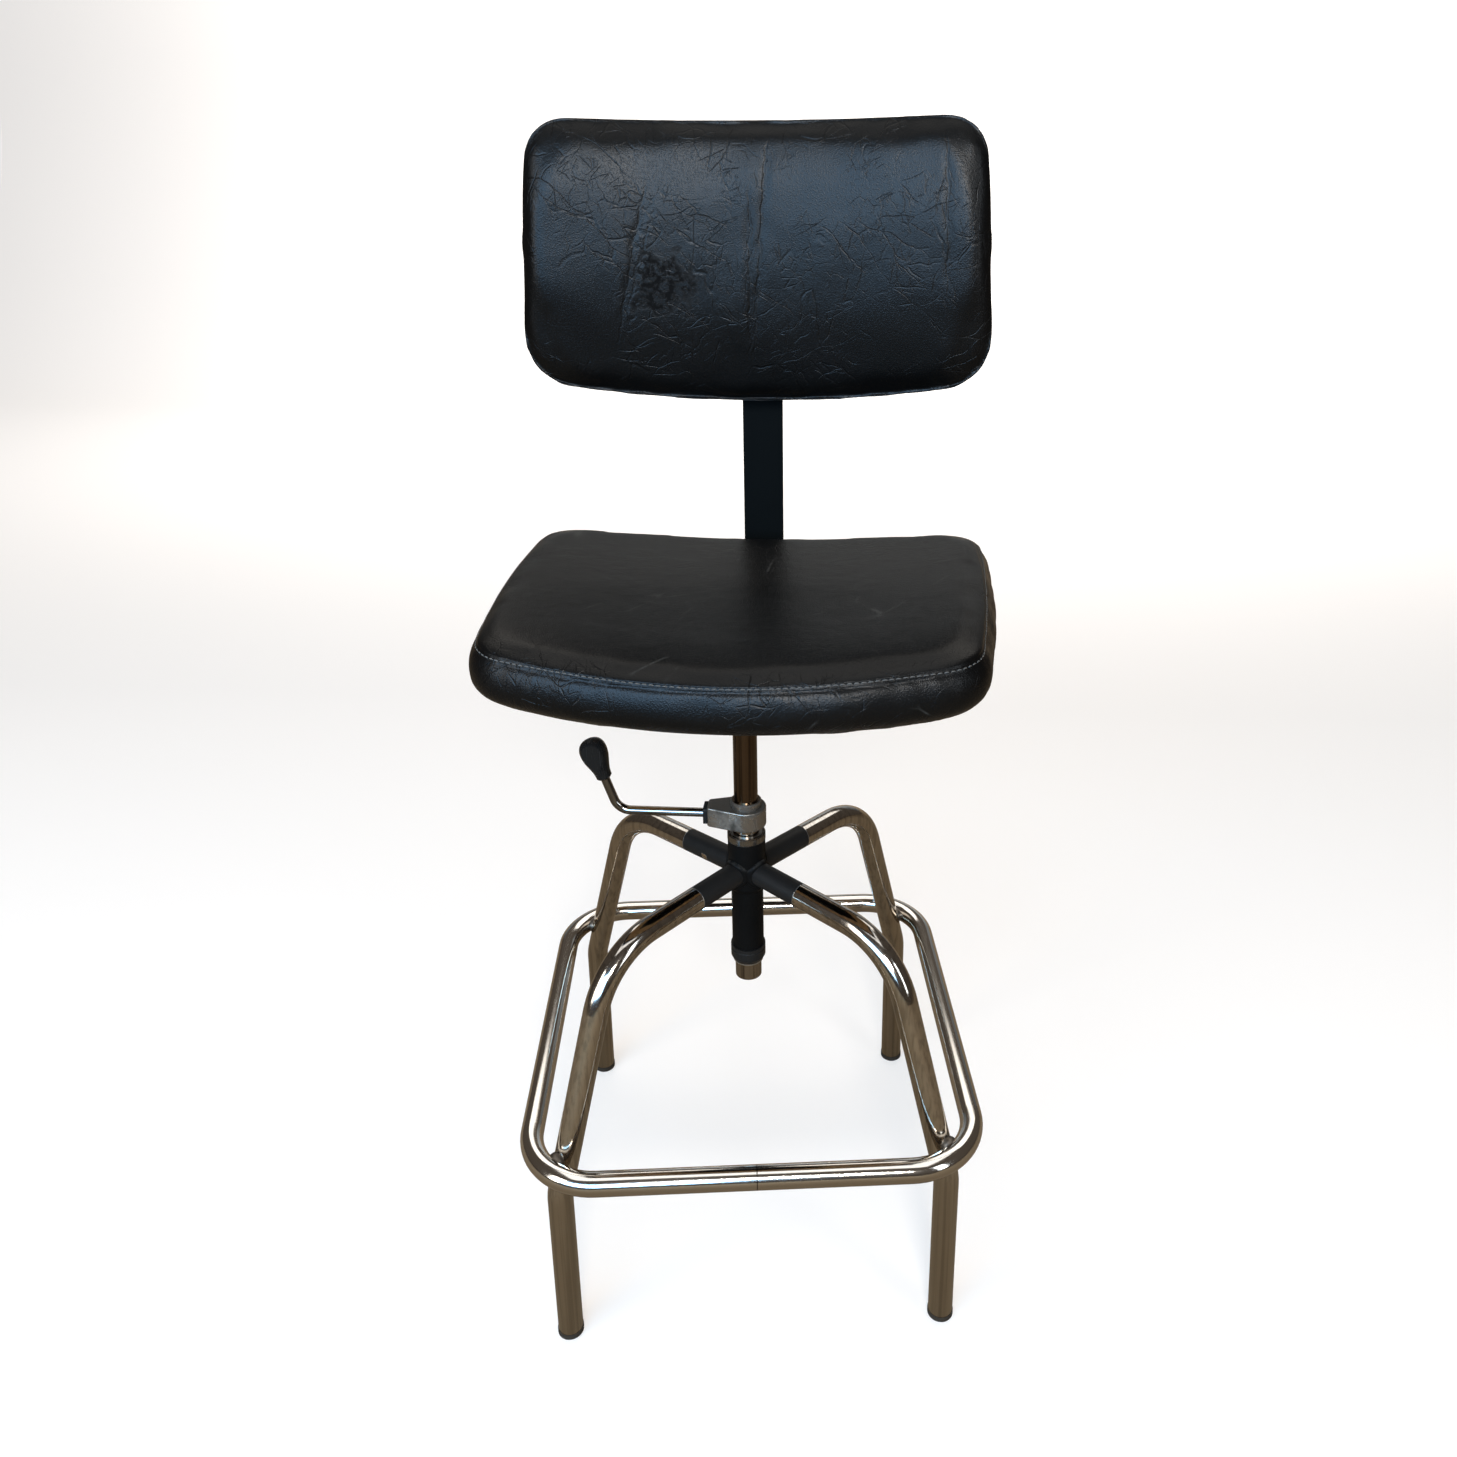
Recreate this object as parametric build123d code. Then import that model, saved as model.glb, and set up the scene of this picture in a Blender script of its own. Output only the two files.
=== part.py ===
from build123d import *
import math
import os

# Drafting chair. Millimetres, +Z up, the sitter faces -Y. The sizes below are taken from the column's axis.

# Longer than the whole chair, for cuts that go right through
THROUGH = 4000.0

# Base
LEG_D = 22.0
LEG_WALL = 1.5
LEG_COUNT = 4
ARM_Z = 366.0
BEND_OUT = 170.0
BEND_Z = 361.0
BEND_R = 71.0
FOOT_OUT = 235.5
KNEE_Z = 158.0
KNEE_R = 45.0
BASE_TURN = 6.9
RING_D = 20.0
RING_WALL = 1.5
RING_HALF = 192.6
RING_Z = 191.0
WELD_GAP = 0.3
WELD_R = 8.0
VENT_D = 3.0
GLIDE_D = 23.0
GLIDE_H = 6.0
GLIDE_STEM = 18.0
GLIDE_PLAY = 0.15
GLIDE_BEVEL = 1.5

# Hub, its bearings and the guide sleeve
SLEEVE_D = 25.0
SLEEVE_BOTTOM = 249.0
SLEEVE_SHOW = 0.5
HUB_D = 30.0
HUB_BORE = 27.0
HUB_BOTTOM = 272.0
HOUSING_D = 35.0
HOUSING_Z = 346.0
HOUSING_CONE = 4.0
HOUSING_TOP = 397.5
TURN_FIT = 0.05
COLLAR_D = 33.0
COLLAR_H = 16.0
COLLAR_WEB = 4.0
COLLAR_BEVEL = 2.0
COLLAR_GROOVE = 0.6
COLLAR_GROOVE_UP = 12.0
BUSH_H = 17.0
CUP_D = 35.5
CUP_H = 7.5
CUP_ROUND = 1.0
CUP_WELL = 30.4
RACE_H = 2.0
WASHER_H = 2.0
RUN_GAP = 0.3
THRUST_GAP = 0.1
SHOULDER_D = 29.6
SHOULDER_H = 2.6
CLIP_D = 28.6
CLIP_H = 1.2

# Clamp and lever
EYE_R = 18.6
CLAMP_UP = 8.3
CLAMP_H = 19.5
CLAMP_END = 35.5
CLAMP_END_W = 19.0
CLAMP_END_L = 8.0
CLAMP_END_ROUND = 3.0
CLAMP_ROUND = 1.6
BOSS_R = 14.4
BOSS_H = 6.0
BOSS_BEVEL = 1.0
SCREW_UP = 10.0
WASHER_T = 3.5
WASHER_W = 17.0
WASHER_TALL = 16.5
LEVER_D = 8.4
LEVER_TIP_D = 7.0
LEVER_TIP_L = 4.2
PAD_D = 7.0
PAD_HOLE_PLAY = 0.2
PAD_L = 3.4
LEVER_REACH = 119.0
LEVER_LEAN = 19.0
LEVER_BEND = 16.0
LEVER_UP = 56.0
GRIP_UP = 35.0
GRIP_L = 40.5
GRIP_FOOT_D = 14.6
GRIP_D = 25.4
GRIP_THICK = 18.0
GRIP_WIDEST_UP = 28.0
GRIP_BEVEL = 1.5

# Column and seat
COLUMN_D = 22.0
COLUMN_WALL = 2.0
COLUMN_FIT = 0.06
COLUMN_BOTTOM = 256.0
PLUG_H = 4.0
PLUG_STEM = 12.0
PLUG_D = 21.0
PLUG_BEVEL = 1.0
SOCKET_D = 29.0
SOCKET_H = 28.0
SOCKET_FLANGE_D = 64.0
SOCKET_FLANGE_H = 4.0
SOCKET_CONE = 6.0
PLATE_Z = 575.0
PLATE_T = 4.0
PLATE_W = 170.0
PLATE_FRONT = 75.0
PLATE_REAR = 130.0
PLATE_ROUND = 14.0
PAN_T = 8.0
PAN_INSET = 30.0
SEAT_FRONT = 183.0
SEAT_FRONT_BOW = 33.0
SEAT_FRONT_HALF = 196.0
SEAT_MID_HALF = 217.0
SEAT_REAR_HALF = 219.0
SEAT_REAR = 185.0
SEAT_REAR_BOW = 5.0
SEAT_CORNER = 46.0
SEAT_DIP = 49.0
SADDLE_R = 1600.0
SADDLE_TILT = 1.2
SEAT_TOP_ROUND = 20.0
SEAT_LOW_ROUND = 18.0
BOLT_D = 6.0
BOLT_HEAD = 10.0
BOLT_HEAD_H = 4.0
BOLT_IN = 6.0
BOLT_PLAY = 0.2
SEAT_BOLT_X = 66.0
SEAT_BOLT_FRONT = 58.0
SEAT_BOLT_REAR = 112.0

# Back post and its channel
POST_W = 40.0
POST_T = 6.0
POST_FRONT = 215.0
POST_TOP = 970.0
POST_BEND = 18.0
POST_START = 52.0
POST_ROUND = 18.0
POST_FOOT_ROUND = 4.0
SLIDE_GAP = 0.3
CHANNEL_WALL = 3.0
CHANNEL_FLANGE = 15.0
CHANNEL_FRONT = 44.0
CHANNEL_L = 78.0
KNOB_D = 38.0
KNOB_H = 15.0
KNOB_LOBES = 6
KNOB_LOBE_D = 13.0
KNOB_BOSS_D = 16.0
KNOB_GAP = 2.0
KNOB_BEVEL = 1.5
SCREW_D = 8.0
SCREW_FIT = 0.05
SCREW_IN_KNOB = 9.0
NUT_AF = 14.0
NUT_H = 5.0
DEPTH_SCREW_Y = 84.0

# Backrest and its carriage
PIVOT_Y = 202.0
PIVOT_Z = 906.0
CARRIAGE_H = 44.0
CARRIAGE_WALL = 3.0
CARRIAGE_ROUND = 2.0
LUG_GAP = 13.0
LUG_T = 4.0
LUG_R = 6.5
PIN_D = 7.0
PIN_FIT = 0.05
PIN_HEAD_D = 11.0
PIN_HEAD_H = 2.5
EAR_T = 4.0
EAR_GAP = 0.4
BRACKET_T = 3.0
BRACKET_W = 74.0
BRACKET_H = 46.0
BRACKET_ROUND = 8.0
BACK_SCREW_X = 28.0
BACK_SCREW_Z = 14.0
BACK_SCREW_D = 5.0
BACK_SCREW_HEAD = 9.0
BACK_SCREW_HEAD_H = 2.5
BACK_SCREW_DOME = 1.5
BACK_SCREW_IN = 5.0
BACK_R = 800.0
SHELL_T = 8.0
SHELL_REAR = 191.0
BACK_T = 30.0
BACK_LOW = 777.0
BACK_LOW_BOW = 21.0
BACK_TOP = 1025.0
BACK_TOP_BOW = 5.0
BACK_HALF_LOW = 201.0
BACK_HALF_MID = 210.0
BACK_HALF_TOP = 203.0
BACK_MID_UP = 112.0
BACK_CORNER_LOW = 42.0
BACK_CORNER_TOP = 36.0
BACK_FRONT_ROUND = 13.0
BACK_REAR_ROUND = 8.0
SHELL_INSET = 9.0
SHELL_LIP = 11.0
SHELL_GAP = 0.2

# The row's origin lies this far behind the column, in the middle of the whole chair.
ORIGIN_Y = 14.5


def lathe(points):
    """A turned solid from (radius, height) corners."""
    return revolve(Plane.XZ * make_face(Polyline(*points, close=True)), Axis.Z)


def collar(outer_d, inner_d, bottom, height):
    """A plain ring on the column's axis."""
    solid = Pos(0, 0, bottom) * Cylinder(outer_d / 2, height, align=(Align.CENTER, Align.CENTER, Align.MIN))
    return solid - Cylinder(inner_d / 2, THROUGH)


def bent(points, radii):
    """A wire in the XZ plane through (x, z) corners, each rounded with its own radius."""
    edges = []
    start = Vector(points[0][0], 0, points[0][1])
    for before, corner, after, radius in zip(points, points[1:], points[2:], radii):
        p = Vector(corner[0], 0, corner[1])
        a = (Vector(before[0], 0, before[1]) - p).normalized()
        b = (Vector(after[0], 0, after[1]) - p).normalized()
        half = math.radians(a.get_angle(b)) / 2
        middle = (a + b).normalized()
        into = p + a * (radius / math.tan(half))
        out = p + b * (radius / math.tan(half))
        crest = p + middle * (radius / math.sin(half) - radius)
        edges.append(Edge.make_line(start, into))
        edges.append(Edge.make_three_point_arc(into, crest, out))
        start = out
    edges.append(Edge.make_line(start, Vector(points[-1][0], 0, points[-1][1])))
    return Wire(edges)


def along(path, section):
    """Sweeps a section, drawn square to the path's start, along it."""
    return sweep(Plane(origin=path @ 0, z_dir=path % 0) * section, path)


def hexagon(across_flats):
    """A regular hexagon by the distance across its flats."""
    return RegularPolygon(across_flats / 2, 6, major_radius=False)


def rod(diameter, length):
    """A round bar standing on the XY plane."""
    return Cylinder(diameter / 2, length, align=(Align.CENTER, Align.CENTER, Align.MIN))


# Legs: a level arm, a wide bend, a sloping shank, a slight knee and an upright foot
shank_slope = math.atan2(FOOT_OUT - BEND_OUT, BEND_Z - KNEE_Z)
leg_line = [(SLEEVE_D / 2, ARM_Z), (BEND_OUT, BEND_Z), (FOOT_OUT, KNEE_Z), (FOOT_OUT, GLIDE_H)]
leg_path = bent(leg_line, [BEND_R, KNEE_R])
leg_core = along(leg_path, Circle(LEG_D / 2))
leg_bore = along(leg_path, Circle(LEG_D / 2 - LEG_WALL))
leg = leg_core - leg_bore - Cylinder(HOUSING_D / 2, THROUGH)


def leg_place(index):
    return Rot(0, 0, BASE_TURN + 45 + 360 / LEG_COUNT * index)


# Foot ring: its corners pass just outside the legs, which sets their radius
leg_at_ring = FOOT_OUT - (RING_Z - KNEE_Z) * math.tan(shank_slope)
ring_corner_out = leg_at_ring + (LEG_D / 2 + RING_D / 2 + WELD_GAP) / math.cos(shank_slope)
ring_corner = (RING_HALF * math.sqrt(2) - ring_corner_out) / (math.sqrt(2) - 1)
ring_shape = RectangleRounded(2 * RING_HALF, 2 * RING_HALF, ring_corner)
ring_path = Pos(0, 0, RING_Z) * ring_shape.wire()
ring_core = along(ring_path, Circle(RING_D / 2))
ring_bore = along(ring_path, Circle(RING_D / 2 - RING_WALL))
ring_vent = Pos(0, RING_HALF, RING_Z - RING_D) * rod(VENT_D, RING_D)
foot_ring = Rot(0, 0, BASE_TURN) * (ring_core - ring_bore - ring_vent)

weld_out = leg_at_ring + (LEG_D / 2 + WELD_GAP / 2) / math.cos(shank_slope)
weld = Pos(weld_out, 0, RING_Z) * Sphere(WELD_R) - leg_core - Rot(0, 0, -45) * ring_core

glide_r = GLIDE_D / 2
glide = lathe([
    (0, 0), (glide_r - GLIDE_BEVEL, 0), (glide_r, GLIDE_BEVEL), (glide_r, GLIDE_H), (0, GLIDE_H),
])
glide = glide + Pos(0, 0, GLIDE_H) * rod(LEG_D - 2 * LEG_WALL - 2 * GLIDE_PLAY, GLIDE_STEM)
glide = Pos(FOOT_OUT, 0, 0) * glide

# Hub and its bearings
hub_r, house_r, bore_r = HUB_D / 2, HOUSING_D / 2, HUB_BORE / 2
hub_tube = lathe([
    (bore_r, HUB_BOTTOM), (hub_r, HUB_BOTTOM), (hub_r, HOUSING_Z),
    (house_r, HOUSING_Z + HOUSING_CONE), (house_r, HOUSING_TOP), (bore_r, HOUSING_TOP),
])
turn_r = SLEEVE_D / 2 + TURN_FIT
web_bottom = HUB_BOTTOM - COLLAR_WEB
groove_z = web_bottom + COLLAR_GROOVE_UP
collar_r = COLLAR_D / 2
lower_bush = lathe([
    (turn_r, web_bottom), (collar_r - COLLAR_BEVEL, web_bottom), (collar_r, HUB_BOTTOM), (turn_r, HUB_BOTTOM),
])
collar_top = web_bottom + COLLAR_H
hub_collar = lathe([
    (hub_r, HUB_BOTTOM), (collar_r, HUB_BOTTOM), (collar_r, groove_z - COLLAR_GROOVE),
    (collar_r - COLLAR_GROOVE, groove_z), (collar_r, groove_z + COLLAR_GROOVE),
    (collar_r, collar_top), (hub_r, collar_top),
])
upper_bush = collar(HUB_BORE, 2 * turn_r, HOUSING_TOP - BUSH_H, BUSH_H)
cup_r, well_r = CUP_D / 2, CUP_WELL / 2
free_r = SLEEVE_D / 2 + RUN_GAP
race_top = HOUSING_TOP + RACE_H
cup_top = HOUSING_TOP + CUP_H
bearing_cup = lathe([
    (well_r, HOUSING_TOP), (cup_r - CUP_ROUND, HOUSING_TOP), (cup_r, HOUSING_TOP + CUP_ROUND),
    (cup_r, cup_top - CUP_ROUND), (cup_r - CUP_ROUND, cup_top), (well_r, cup_top),
])
thrust_race = collar(CUP_WELL, 2 * free_r, HOUSING_TOP, RACE_H)
thrust_washer = collar(CUP_WELL - 2 * RUN_GAP, 2 * free_r, race_top, WASHER_H)

# Guide sleeve and what is fixed on it
shoulder_z = race_top + WASHER_H + THRUST_GAP
clamp_z = shoulder_z + SHOULDER_H + CLAMP_UP
screw_z = clamp_z + SCREW_UP
sleeve_top = clamp_z + CLAMP_H + BOSS_H + SLEEVE_SHOW
sleeve_bore = COLUMN_D + 2 * COLUMN_FIT
pad_hole = Pos(0, 0, screw_z) * Rot(0, -90, 0) * rod(PAD_D + 2 * PAD_HOLE_PLAY, SLEEVE_D)
guide_sleeve = collar(SLEEVE_D, sleeve_bore, SLEEVE_BOTTOM, sleeve_top - SLEEVE_BOTTOM) - pad_hole
sleeve_shoulder = collar(SHOULDER_D, SLEEVE_D, shoulder_z, SHOULDER_H)
retaining_clip = collar(CLIP_D, SLEEVE_D, web_bottom - RUN_GAP - CLIP_H, CLIP_H)

clamp_end = RectangleRounded(CLAMP_END_L, CLAMP_END_W, CLAMP_END_ROUND)
clamp_end = Pos(CLAMP_END_L / 2 - CLAMP_END, 0) * clamp_end
clamp_plan = make_hull((Circle(EYE_R) + clamp_end).edges())
clamp_body = extrude(Pos(0, 0, clamp_z) * clamp_plan, CLAMP_H)
clamp_rims = clamp_body.edges().group_by(Axis.Z)
clamp_body = fillet(clamp_rims[0] + clamp_rims[-1], CLAMP_ROUND)
clamp_boss = Pos(0, 0, clamp_z + CLAMP_H) * rod(2 * BOSS_R, BOSS_H)
clamp_boss = chamfer(clamp_boss.edges().group_by(Axis.Z)[-1], BOSS_BEVEL)
lever_bore = Pos(0, 0, screw_z) * Rot(0, -90, 0) * rod(LEVER_D + 2 * SCREW_FIT, 4 * EYE_R)
clamp_body = clamp_body + clamp_boss - Cylinder(SLEEVE_D / 2, THROUGH) - lever_bore

washer_plan = RectangleRounded(WASHER_W, WASHER_TALL, CLAMP_END_ROUND) - Circle(LEVER_D / 2 + RUN_GAP)
washer_face = Plane.YZ * washer_plan
clamp_washer = Pos(-CLAMP_END, 0, screw_z) * extrude(washer_face, -WASHER_T)

pad_start = COLUMN_D / 2 + RUN_GAP
pad = Pos(0, 0, screw_z) * Rot(0, -90, 0) * rod(PAD_D, pad_start + PAD_L)
pressure_pad = pad - Cylinder(pad_start, THROUGH)

# Lever: the screw's end, the long arm and the crank up to the grip
tip_x = pad_start + PAD_L + RUN_GAP
lean = math.radians(LEVER_LEAN)
crank_end = (-LEVER_REACH - LEVER_UP * math.sin(lean), screw_z + LEVER_UP * math.cos(lean))
lever_line = [(-tip_x - LEVER_TIP_L, screw_z), (-LEVER_REACH, screw_z), crank_end]
lever_path = bent(lever_line, [LEVER_BEND])
lever_rod = along(lever_path, Circle(LEVER_D / 2))
lever_tip = Pos(-tip_x, 0, screw_z) * Rot(0, -90, 0) * rod(LEVER_TIP_D, LEVER_TIP_L)
lever_rod = lever_rod + lever_tip

grip_frame = Pos(-LEVER_REACH, 0, screw_z) * Rot(0, -LEVER_LEAN, 0) * Pos(0, 0, GRIP_UP)
foot_r, grip_r = GRIP_FOOT_D / 2, GRIP_D / 2
widest = (grip_r, GRIP_WIDEST_UP)
grip_side = Spline((foot_r, GRIP_BEVEL), widest, tangents=((0, 1), (0, 1)))
grip_crown = Spline(widest, (0, GRIP_L), tangents=((0, 1), (-1, 0)))
grip_base = Polyline((0, GRIP_L), (0, 0), (foot_r - GRIP_BEVEL, 0), (foot_r, GRIP_BEVEL))
grip_turned = revolve(Plane.XZ * make_face([grip_side, grip_crown, grip_base]), Axis.Z)
grip_blank = grip_turned & Box(4 * GRIP_D, GRIP_THICK, 4 * GRIP_L)
lever_grip = grip_frame * (grip_blank - rod(LEVER_D, LEVER_UP - GRIP_UP))

# Column and seat
column_tube = collar(COLUMN_D, COLUMN_D - 2 * COLUMN_WALL, COLUMN_BOTTOM, PLATE_Z - COLUMN_BOTTOM)
plug_stem = Pos(0, 0, COLUMN_BOTTOM) * rod(COLUMN_D - 2 * COLUMN_WALL - 2 * GLIDE_PLAY, PLUG_STEM)
plug_cap = Pos(0, 0, COLUMN_BOTTOM - PLUG_H) * rod(PLUG_D, PLUG_H)
column_plug = plug_stem + chamfer(plug_cap.edges().group_by(Axis.Z)[0], PLUG_BEVEL)

pan_z = PLATE_Z + PLATE_T
cushion_z = pan_z + PAN_T
saddle_axis = cushion_z + SEAT_DIP + SADDLE_R


def saddle(level):
    """The room above a trough along Y whose lowest line is at this level; all these troughs share one axis."""
    return Pos(0, 0, saddle_axis) * Rot(90, 0, 0) * Cylinder(saddle_axis - level, THROUGH)


def bent_sheet(plan, level, thickness):
    """A sheet of even thickness with this plan, bent to the saddle, its lowest line at level."""
    blank = extrude(Pos(0, 0, level) * plan, SEAT_DIP)
    return (blank & saddle(level)) - saddle(level + thickness)


def on_saddle(x, y, level):
    """A place on the trough at this level, square to it."""
    lean = math.degrees(math.asin(x / (saddle_axis - level)))
    return Pos(0, y, saddle_axis) * Rot(0, -lean, 0) * Pos(0, 0, level - saddle_axis)


def seat_outline(inset):
    """The seat's plan: bowed front and rear, bulging sides, round corners, drawn in all round by inset."""
    front, rear = inset - SEAT_FRONT, SEAT_REAR - inset
    corner_y = front + SEAT_FRONT_BOW
    side_y = (corner_y + rear) / 2
    front_x, side_x, rear_x = SEAT_FRONT_HALF - inset, SEAT_MID_HALF - inset, SEAT_REAR_HALF - inset
    face = make_face([
        ThreePointArc((-front_x, corner_y), (0, front), (front_x, corner_y)),
        ThreePointArc((front_x, corner_y), (side_x, side_y), (rear_x, rear)),
        ThreePointArc((rear_x, rear), (0, rear + SEAT_REAR_BOW), (-rear_x, rear)),
        ThreePointArc((-rear_x, rear), (-side_x, side_y), (-front_x, corner_y)),
    ])
    return fillet(face.vertices(), SEAT_CORNER - inset / 2)


# The cushion's top trough leans a little backwards; its underside follows the bent pan
seat_top_z = cushion_z + SEAT_DIP
seat_block = extrude(Pos(0, 0, cushion_z) * seat_outline(0), 2 * SEAT_DIP) & saddle(cushion_z)
lean_back = Pos(0, 0, seat_top_z) * Rot(-SADDLE_TILT, 0, 0) * Pos(0, 0, -seat_top_z)
seat_cushion = seat_block - lean_back * saddle(seat_top_z)
seat_half_z = cushion_z + SEAT_DIP / 2
seat_rim = [e for e in seat_cushion.edges() if e.bounding_box().min.Z > seat_half_z]
seat_cushion = fillet(seat_rim, SEAT_TOP_ROUND)
seat_low_rim = [e for e in seat_cushion.edges() if e.bounding_box().max.Z < seat_half_z]
seat_cushion = fillet(seat_low_rim, SEAT_LOW_ROUND)

plate_mid = (PLATE_REAR - PLATE_FRONT) / 2
plate_plan = Pos(0, plate_mid) * RectangleRounded(PLATE_W, PLATE_FRONT + PLATE_REAR, PLATE_ROUND)
seat_plate = bent_sheet(plate_plan, PLATE_Z, PLATE_T)
seat_pan = bent_sheet(seat_outline(PAN_INSET), pan_z, PAN_T)
bolt = Pos(0, 0, -BOLT_HEAD_H) * extrude(hexagon(BOLT_HEAD), BOLT_HEAD_H) + rod(BOLT_D, PLATE_T + BOLT_IN)
bolt_hole = rod(BOLT_D + 2 * BOLT_PLAY, PLATE_T + BOLT_IN + BOLT_PLAY)
seat_bolts = []
for x in (-SEAT_BOLT_X, SEAT_BOLT_X):
    for y in (-SEAT_BOLT_FRONT, SEAT_BOLT_REAR):
        spot = on_saddle(x, y, PLATE_Z)
        seat_bolts.append(spot * bolt)
        seat_plate -= spot * bolt_hole
        seat_pan -= spot * bolt_hole

# Socket under the plate, fitted to its bend
column_r, socket_r, flange_r = COLUMN_D / 2, SOCKET_D / 2, SOCKET_FLANGE_D / 2
flange_z = PLATE_Z - SOCKET_FLANGE_H
seat_socket = lathe([
    (column_r, PLATE_Z - SOCKET_H), (socket_r, PLATE_Z - SOCKET_H), (socket_r, flange_z - SOCKET_CONE),
    (socket_r + SOCKET_CONE, flange_z), (flange_r, flange_z), (flange_r, pan_z), (column_r, pan_z),
]) - saddle(PLATE_Z)

# Channel under the plate, fitted to its bend, with a welded nut for the clamp screw
foot_top = PLATE_Z - SLIDE_GAP
foot_z = foot_top - POST_T / 2
web_top = foot_top - POST_T - SLIDE_GAP
web_low = web_top - CHANNEL_WALL
inner_x = POST_W / 2 + SLIDE_GAP
outer_x = inner_x + CHANNEL_WALL
flange_x = outer_x + CHANNEL_FLANGE
flange_low = PLATE_Z - CHANNEL_WALL
half_channel = [
    (0, web_low), (outer_x, web_low), (outer_x, flange_low), (flange_x, flange_low),
    (flange_x, pan_z), (inner_x, pan_z), (inner_x, web_top), (0, web_top),
]
right_side = make_face(Polyline(*half_channel, close=True))
channel_plan = Plane.XZ.offset(-CHANNEL_FRONT) * (right_side + mirror(right_side, Plane.YZ))
post_channel = extrude(channel_plan, -CHANNEL_L) - saddle(PLATE_Z)
screw_play = SCREW_D + 2 * SCREW_FIT
post_channel -= Pos(0, DEPTH_SCREW_Y, web_low - 1) * rod(screw_play, CHANNEL_WALL + 2)
nut = extrude(hexagon(NUT_AF), NUT_H) - rod(screw_play, NUT_H)
channel_nut = Pos(0, DEPTH_SCREW_Y, web_low - NUT_H) * nut


def lobed_knob():
    """A lobed hand knob that stands on the XY plane, with its boss upwards and a blind hole for the screw."""
    plan = Circle(KNOB_D / 2 - KNOB_LOBE_D / 4)
    for i in range(KNOB_LOBES):
        spoke = Rot(0, 0, 360 / KNOB_LOBES * i)
        plan += spoke * Pos(KNOB_D / 2 - KNOB_LOBE_D / 2, 0) * Circle(KNOB_LOBE_D / 2)
    body = extrude(plan, KNOB_H - KNOB_GAP)
    levels = body.edges().group_by(Axis.Z)
    body = chamfer(levels[0] + levels[-1], KNOB_BEVEL)
    body += Pos(0, 0, KNOB_H - KNOB_GAP) * rod(KNOB_BOSS_D, KNOB_GAP)
    return body - Pos(0, 0, KNOB_H - SCREW_IN_KNOB) * rod(SCREW_D, SCREW_IN_KNOB)


# Clamp screws: each ends just short of the flat bar
screw_l = SCREW_IN_KNOB + KNOB_GAP + NUT_H + CHANNEL_WALL
screw_bar = rod(SCREW_D, screw_l)
depth_face = web_low - NUT_H - KNOB_GAP
depth_screw = Pos(0, DEPTH_SCREW_Y, depth_face - SCREW_IN_KNOB) * screw_bar
depth_knob = Pos(0, DEPTH_SCREW_Y, depth_face - KNOB_H) * lobed_knob()

# Back post: a flat bar, its foot under the seat, bent upwards behind it
post_mid = POST_FRONT + POST_T / 2
post_line = [(POST_START, foot_z), (post_mid, foot_z), (post_mid, POST_TOP)]
post_path = Rot(0, 0, 90) * bent(post_line, [POST_BEND + POST_T / 2])
post_section = Plane(origin=post_path @ 0, x_dir=(1, 0, 0), z_dir=post_path % 0) * Rectangle(POST_W, POST_T)
back_post = sweep(post_section, post_path)
post_tips = back_post.edges().filter_by(Axis.Y).group_by(Axis.Z)[-1]
back_post = fillet(post_tips, POST_ROUND)
post_foot_tips = back_post.edges().filter_by(Axis.Z).group_by(Axis.Y)[0]
back_post = fillet(post_foot_tips, POST_FOOT_ROUND)

# Carriage on the post, its hinge lugs and clamp nut
post_rear = POST_FRONT + POST_T
wall_front = POST_FRONT - SLIDE_GAP
wall_rear = post_rear + SLIDE_GAP
carriage_d = wall_rear - wall_front + 2 * CARRIAGE_WALL
carriage_w = POST_W + 2 * SLIDE_GAP + 2 * CARRIAGE_WALL
shoe_bore = Rectangle(POST_W + 2 * SLIDE_GAP, POST_T + 2 * SLIDE_GAP)
shoe = RectangleRounded(carriage_w, carriage_d, CARRIAGE_ROUND) - shoe_bore
carriage_low = PIVOT_Z - CARRIAGE_H / 2
back_carriage = Pos(0, post_mid, carriage_low) * extrude(shoe, CARRIAGE_H)
lug_base = wall_front - CARRIAGE_WALL - PIVOT_Y
lug_plan = Circle(LUG_R) + Pos(lug_base / 2, 0) * Rectangle(lug_base, 2 * LUG_R)
lug = extrude(Plane.YZ * lug_plan, LUG_T) - Plane.YZ * rod(PIN_D, LUG_T)
for x in (LUG_GAP, -LUG_GAP - LUG_T):
    back_carriage += Pos(x, PIVOT_Y, PIVOT_Z) * lug
rear_screw = Plane(origin=(0, wall_rear, PIVOT_Z), x_dir=(1, 0, 0), z_dir=(0, 1, 0))
back_carriage -= rear_screw * Pos(0, 0, -1) * rod(screw_play, CARRIAGE_WALL + 2)
carriage_nut = rear_screw * Pos(0, 0, CARRIAGE_WALL) * nut

pin_span = 2 * (LUG_GAP + LUG_T)
pin_start = Plane(origin=(-pin_span / 2, PIVOT_Y, PIVOT_Z), x_dir=(0, 1, 0), z_dir=(1, 0, 0))
pin_head = rod(PIN_HEAD_D, PIN_HEAD_H)
tilt_pin = pin_start * (rod(PIN_D, pin_span) + Pos(0, 0, -PIN_HEAD_H) * pin_head + Pos(0, 0, pin_span) * pin_head)

height_screw = rear_screw * rod(SCREW_D, screw_l)
height_knob = rear_screw * Pos(0, 0, CARRIAGE_WALL + NUT_H + KNOB_GAP + KNOB_H) * Rot(180, 0, 0) * lobed_knob()

# Backrest: a moulded shell, a cushion on it, and the bracket that hangs on the hinge pin


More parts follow.
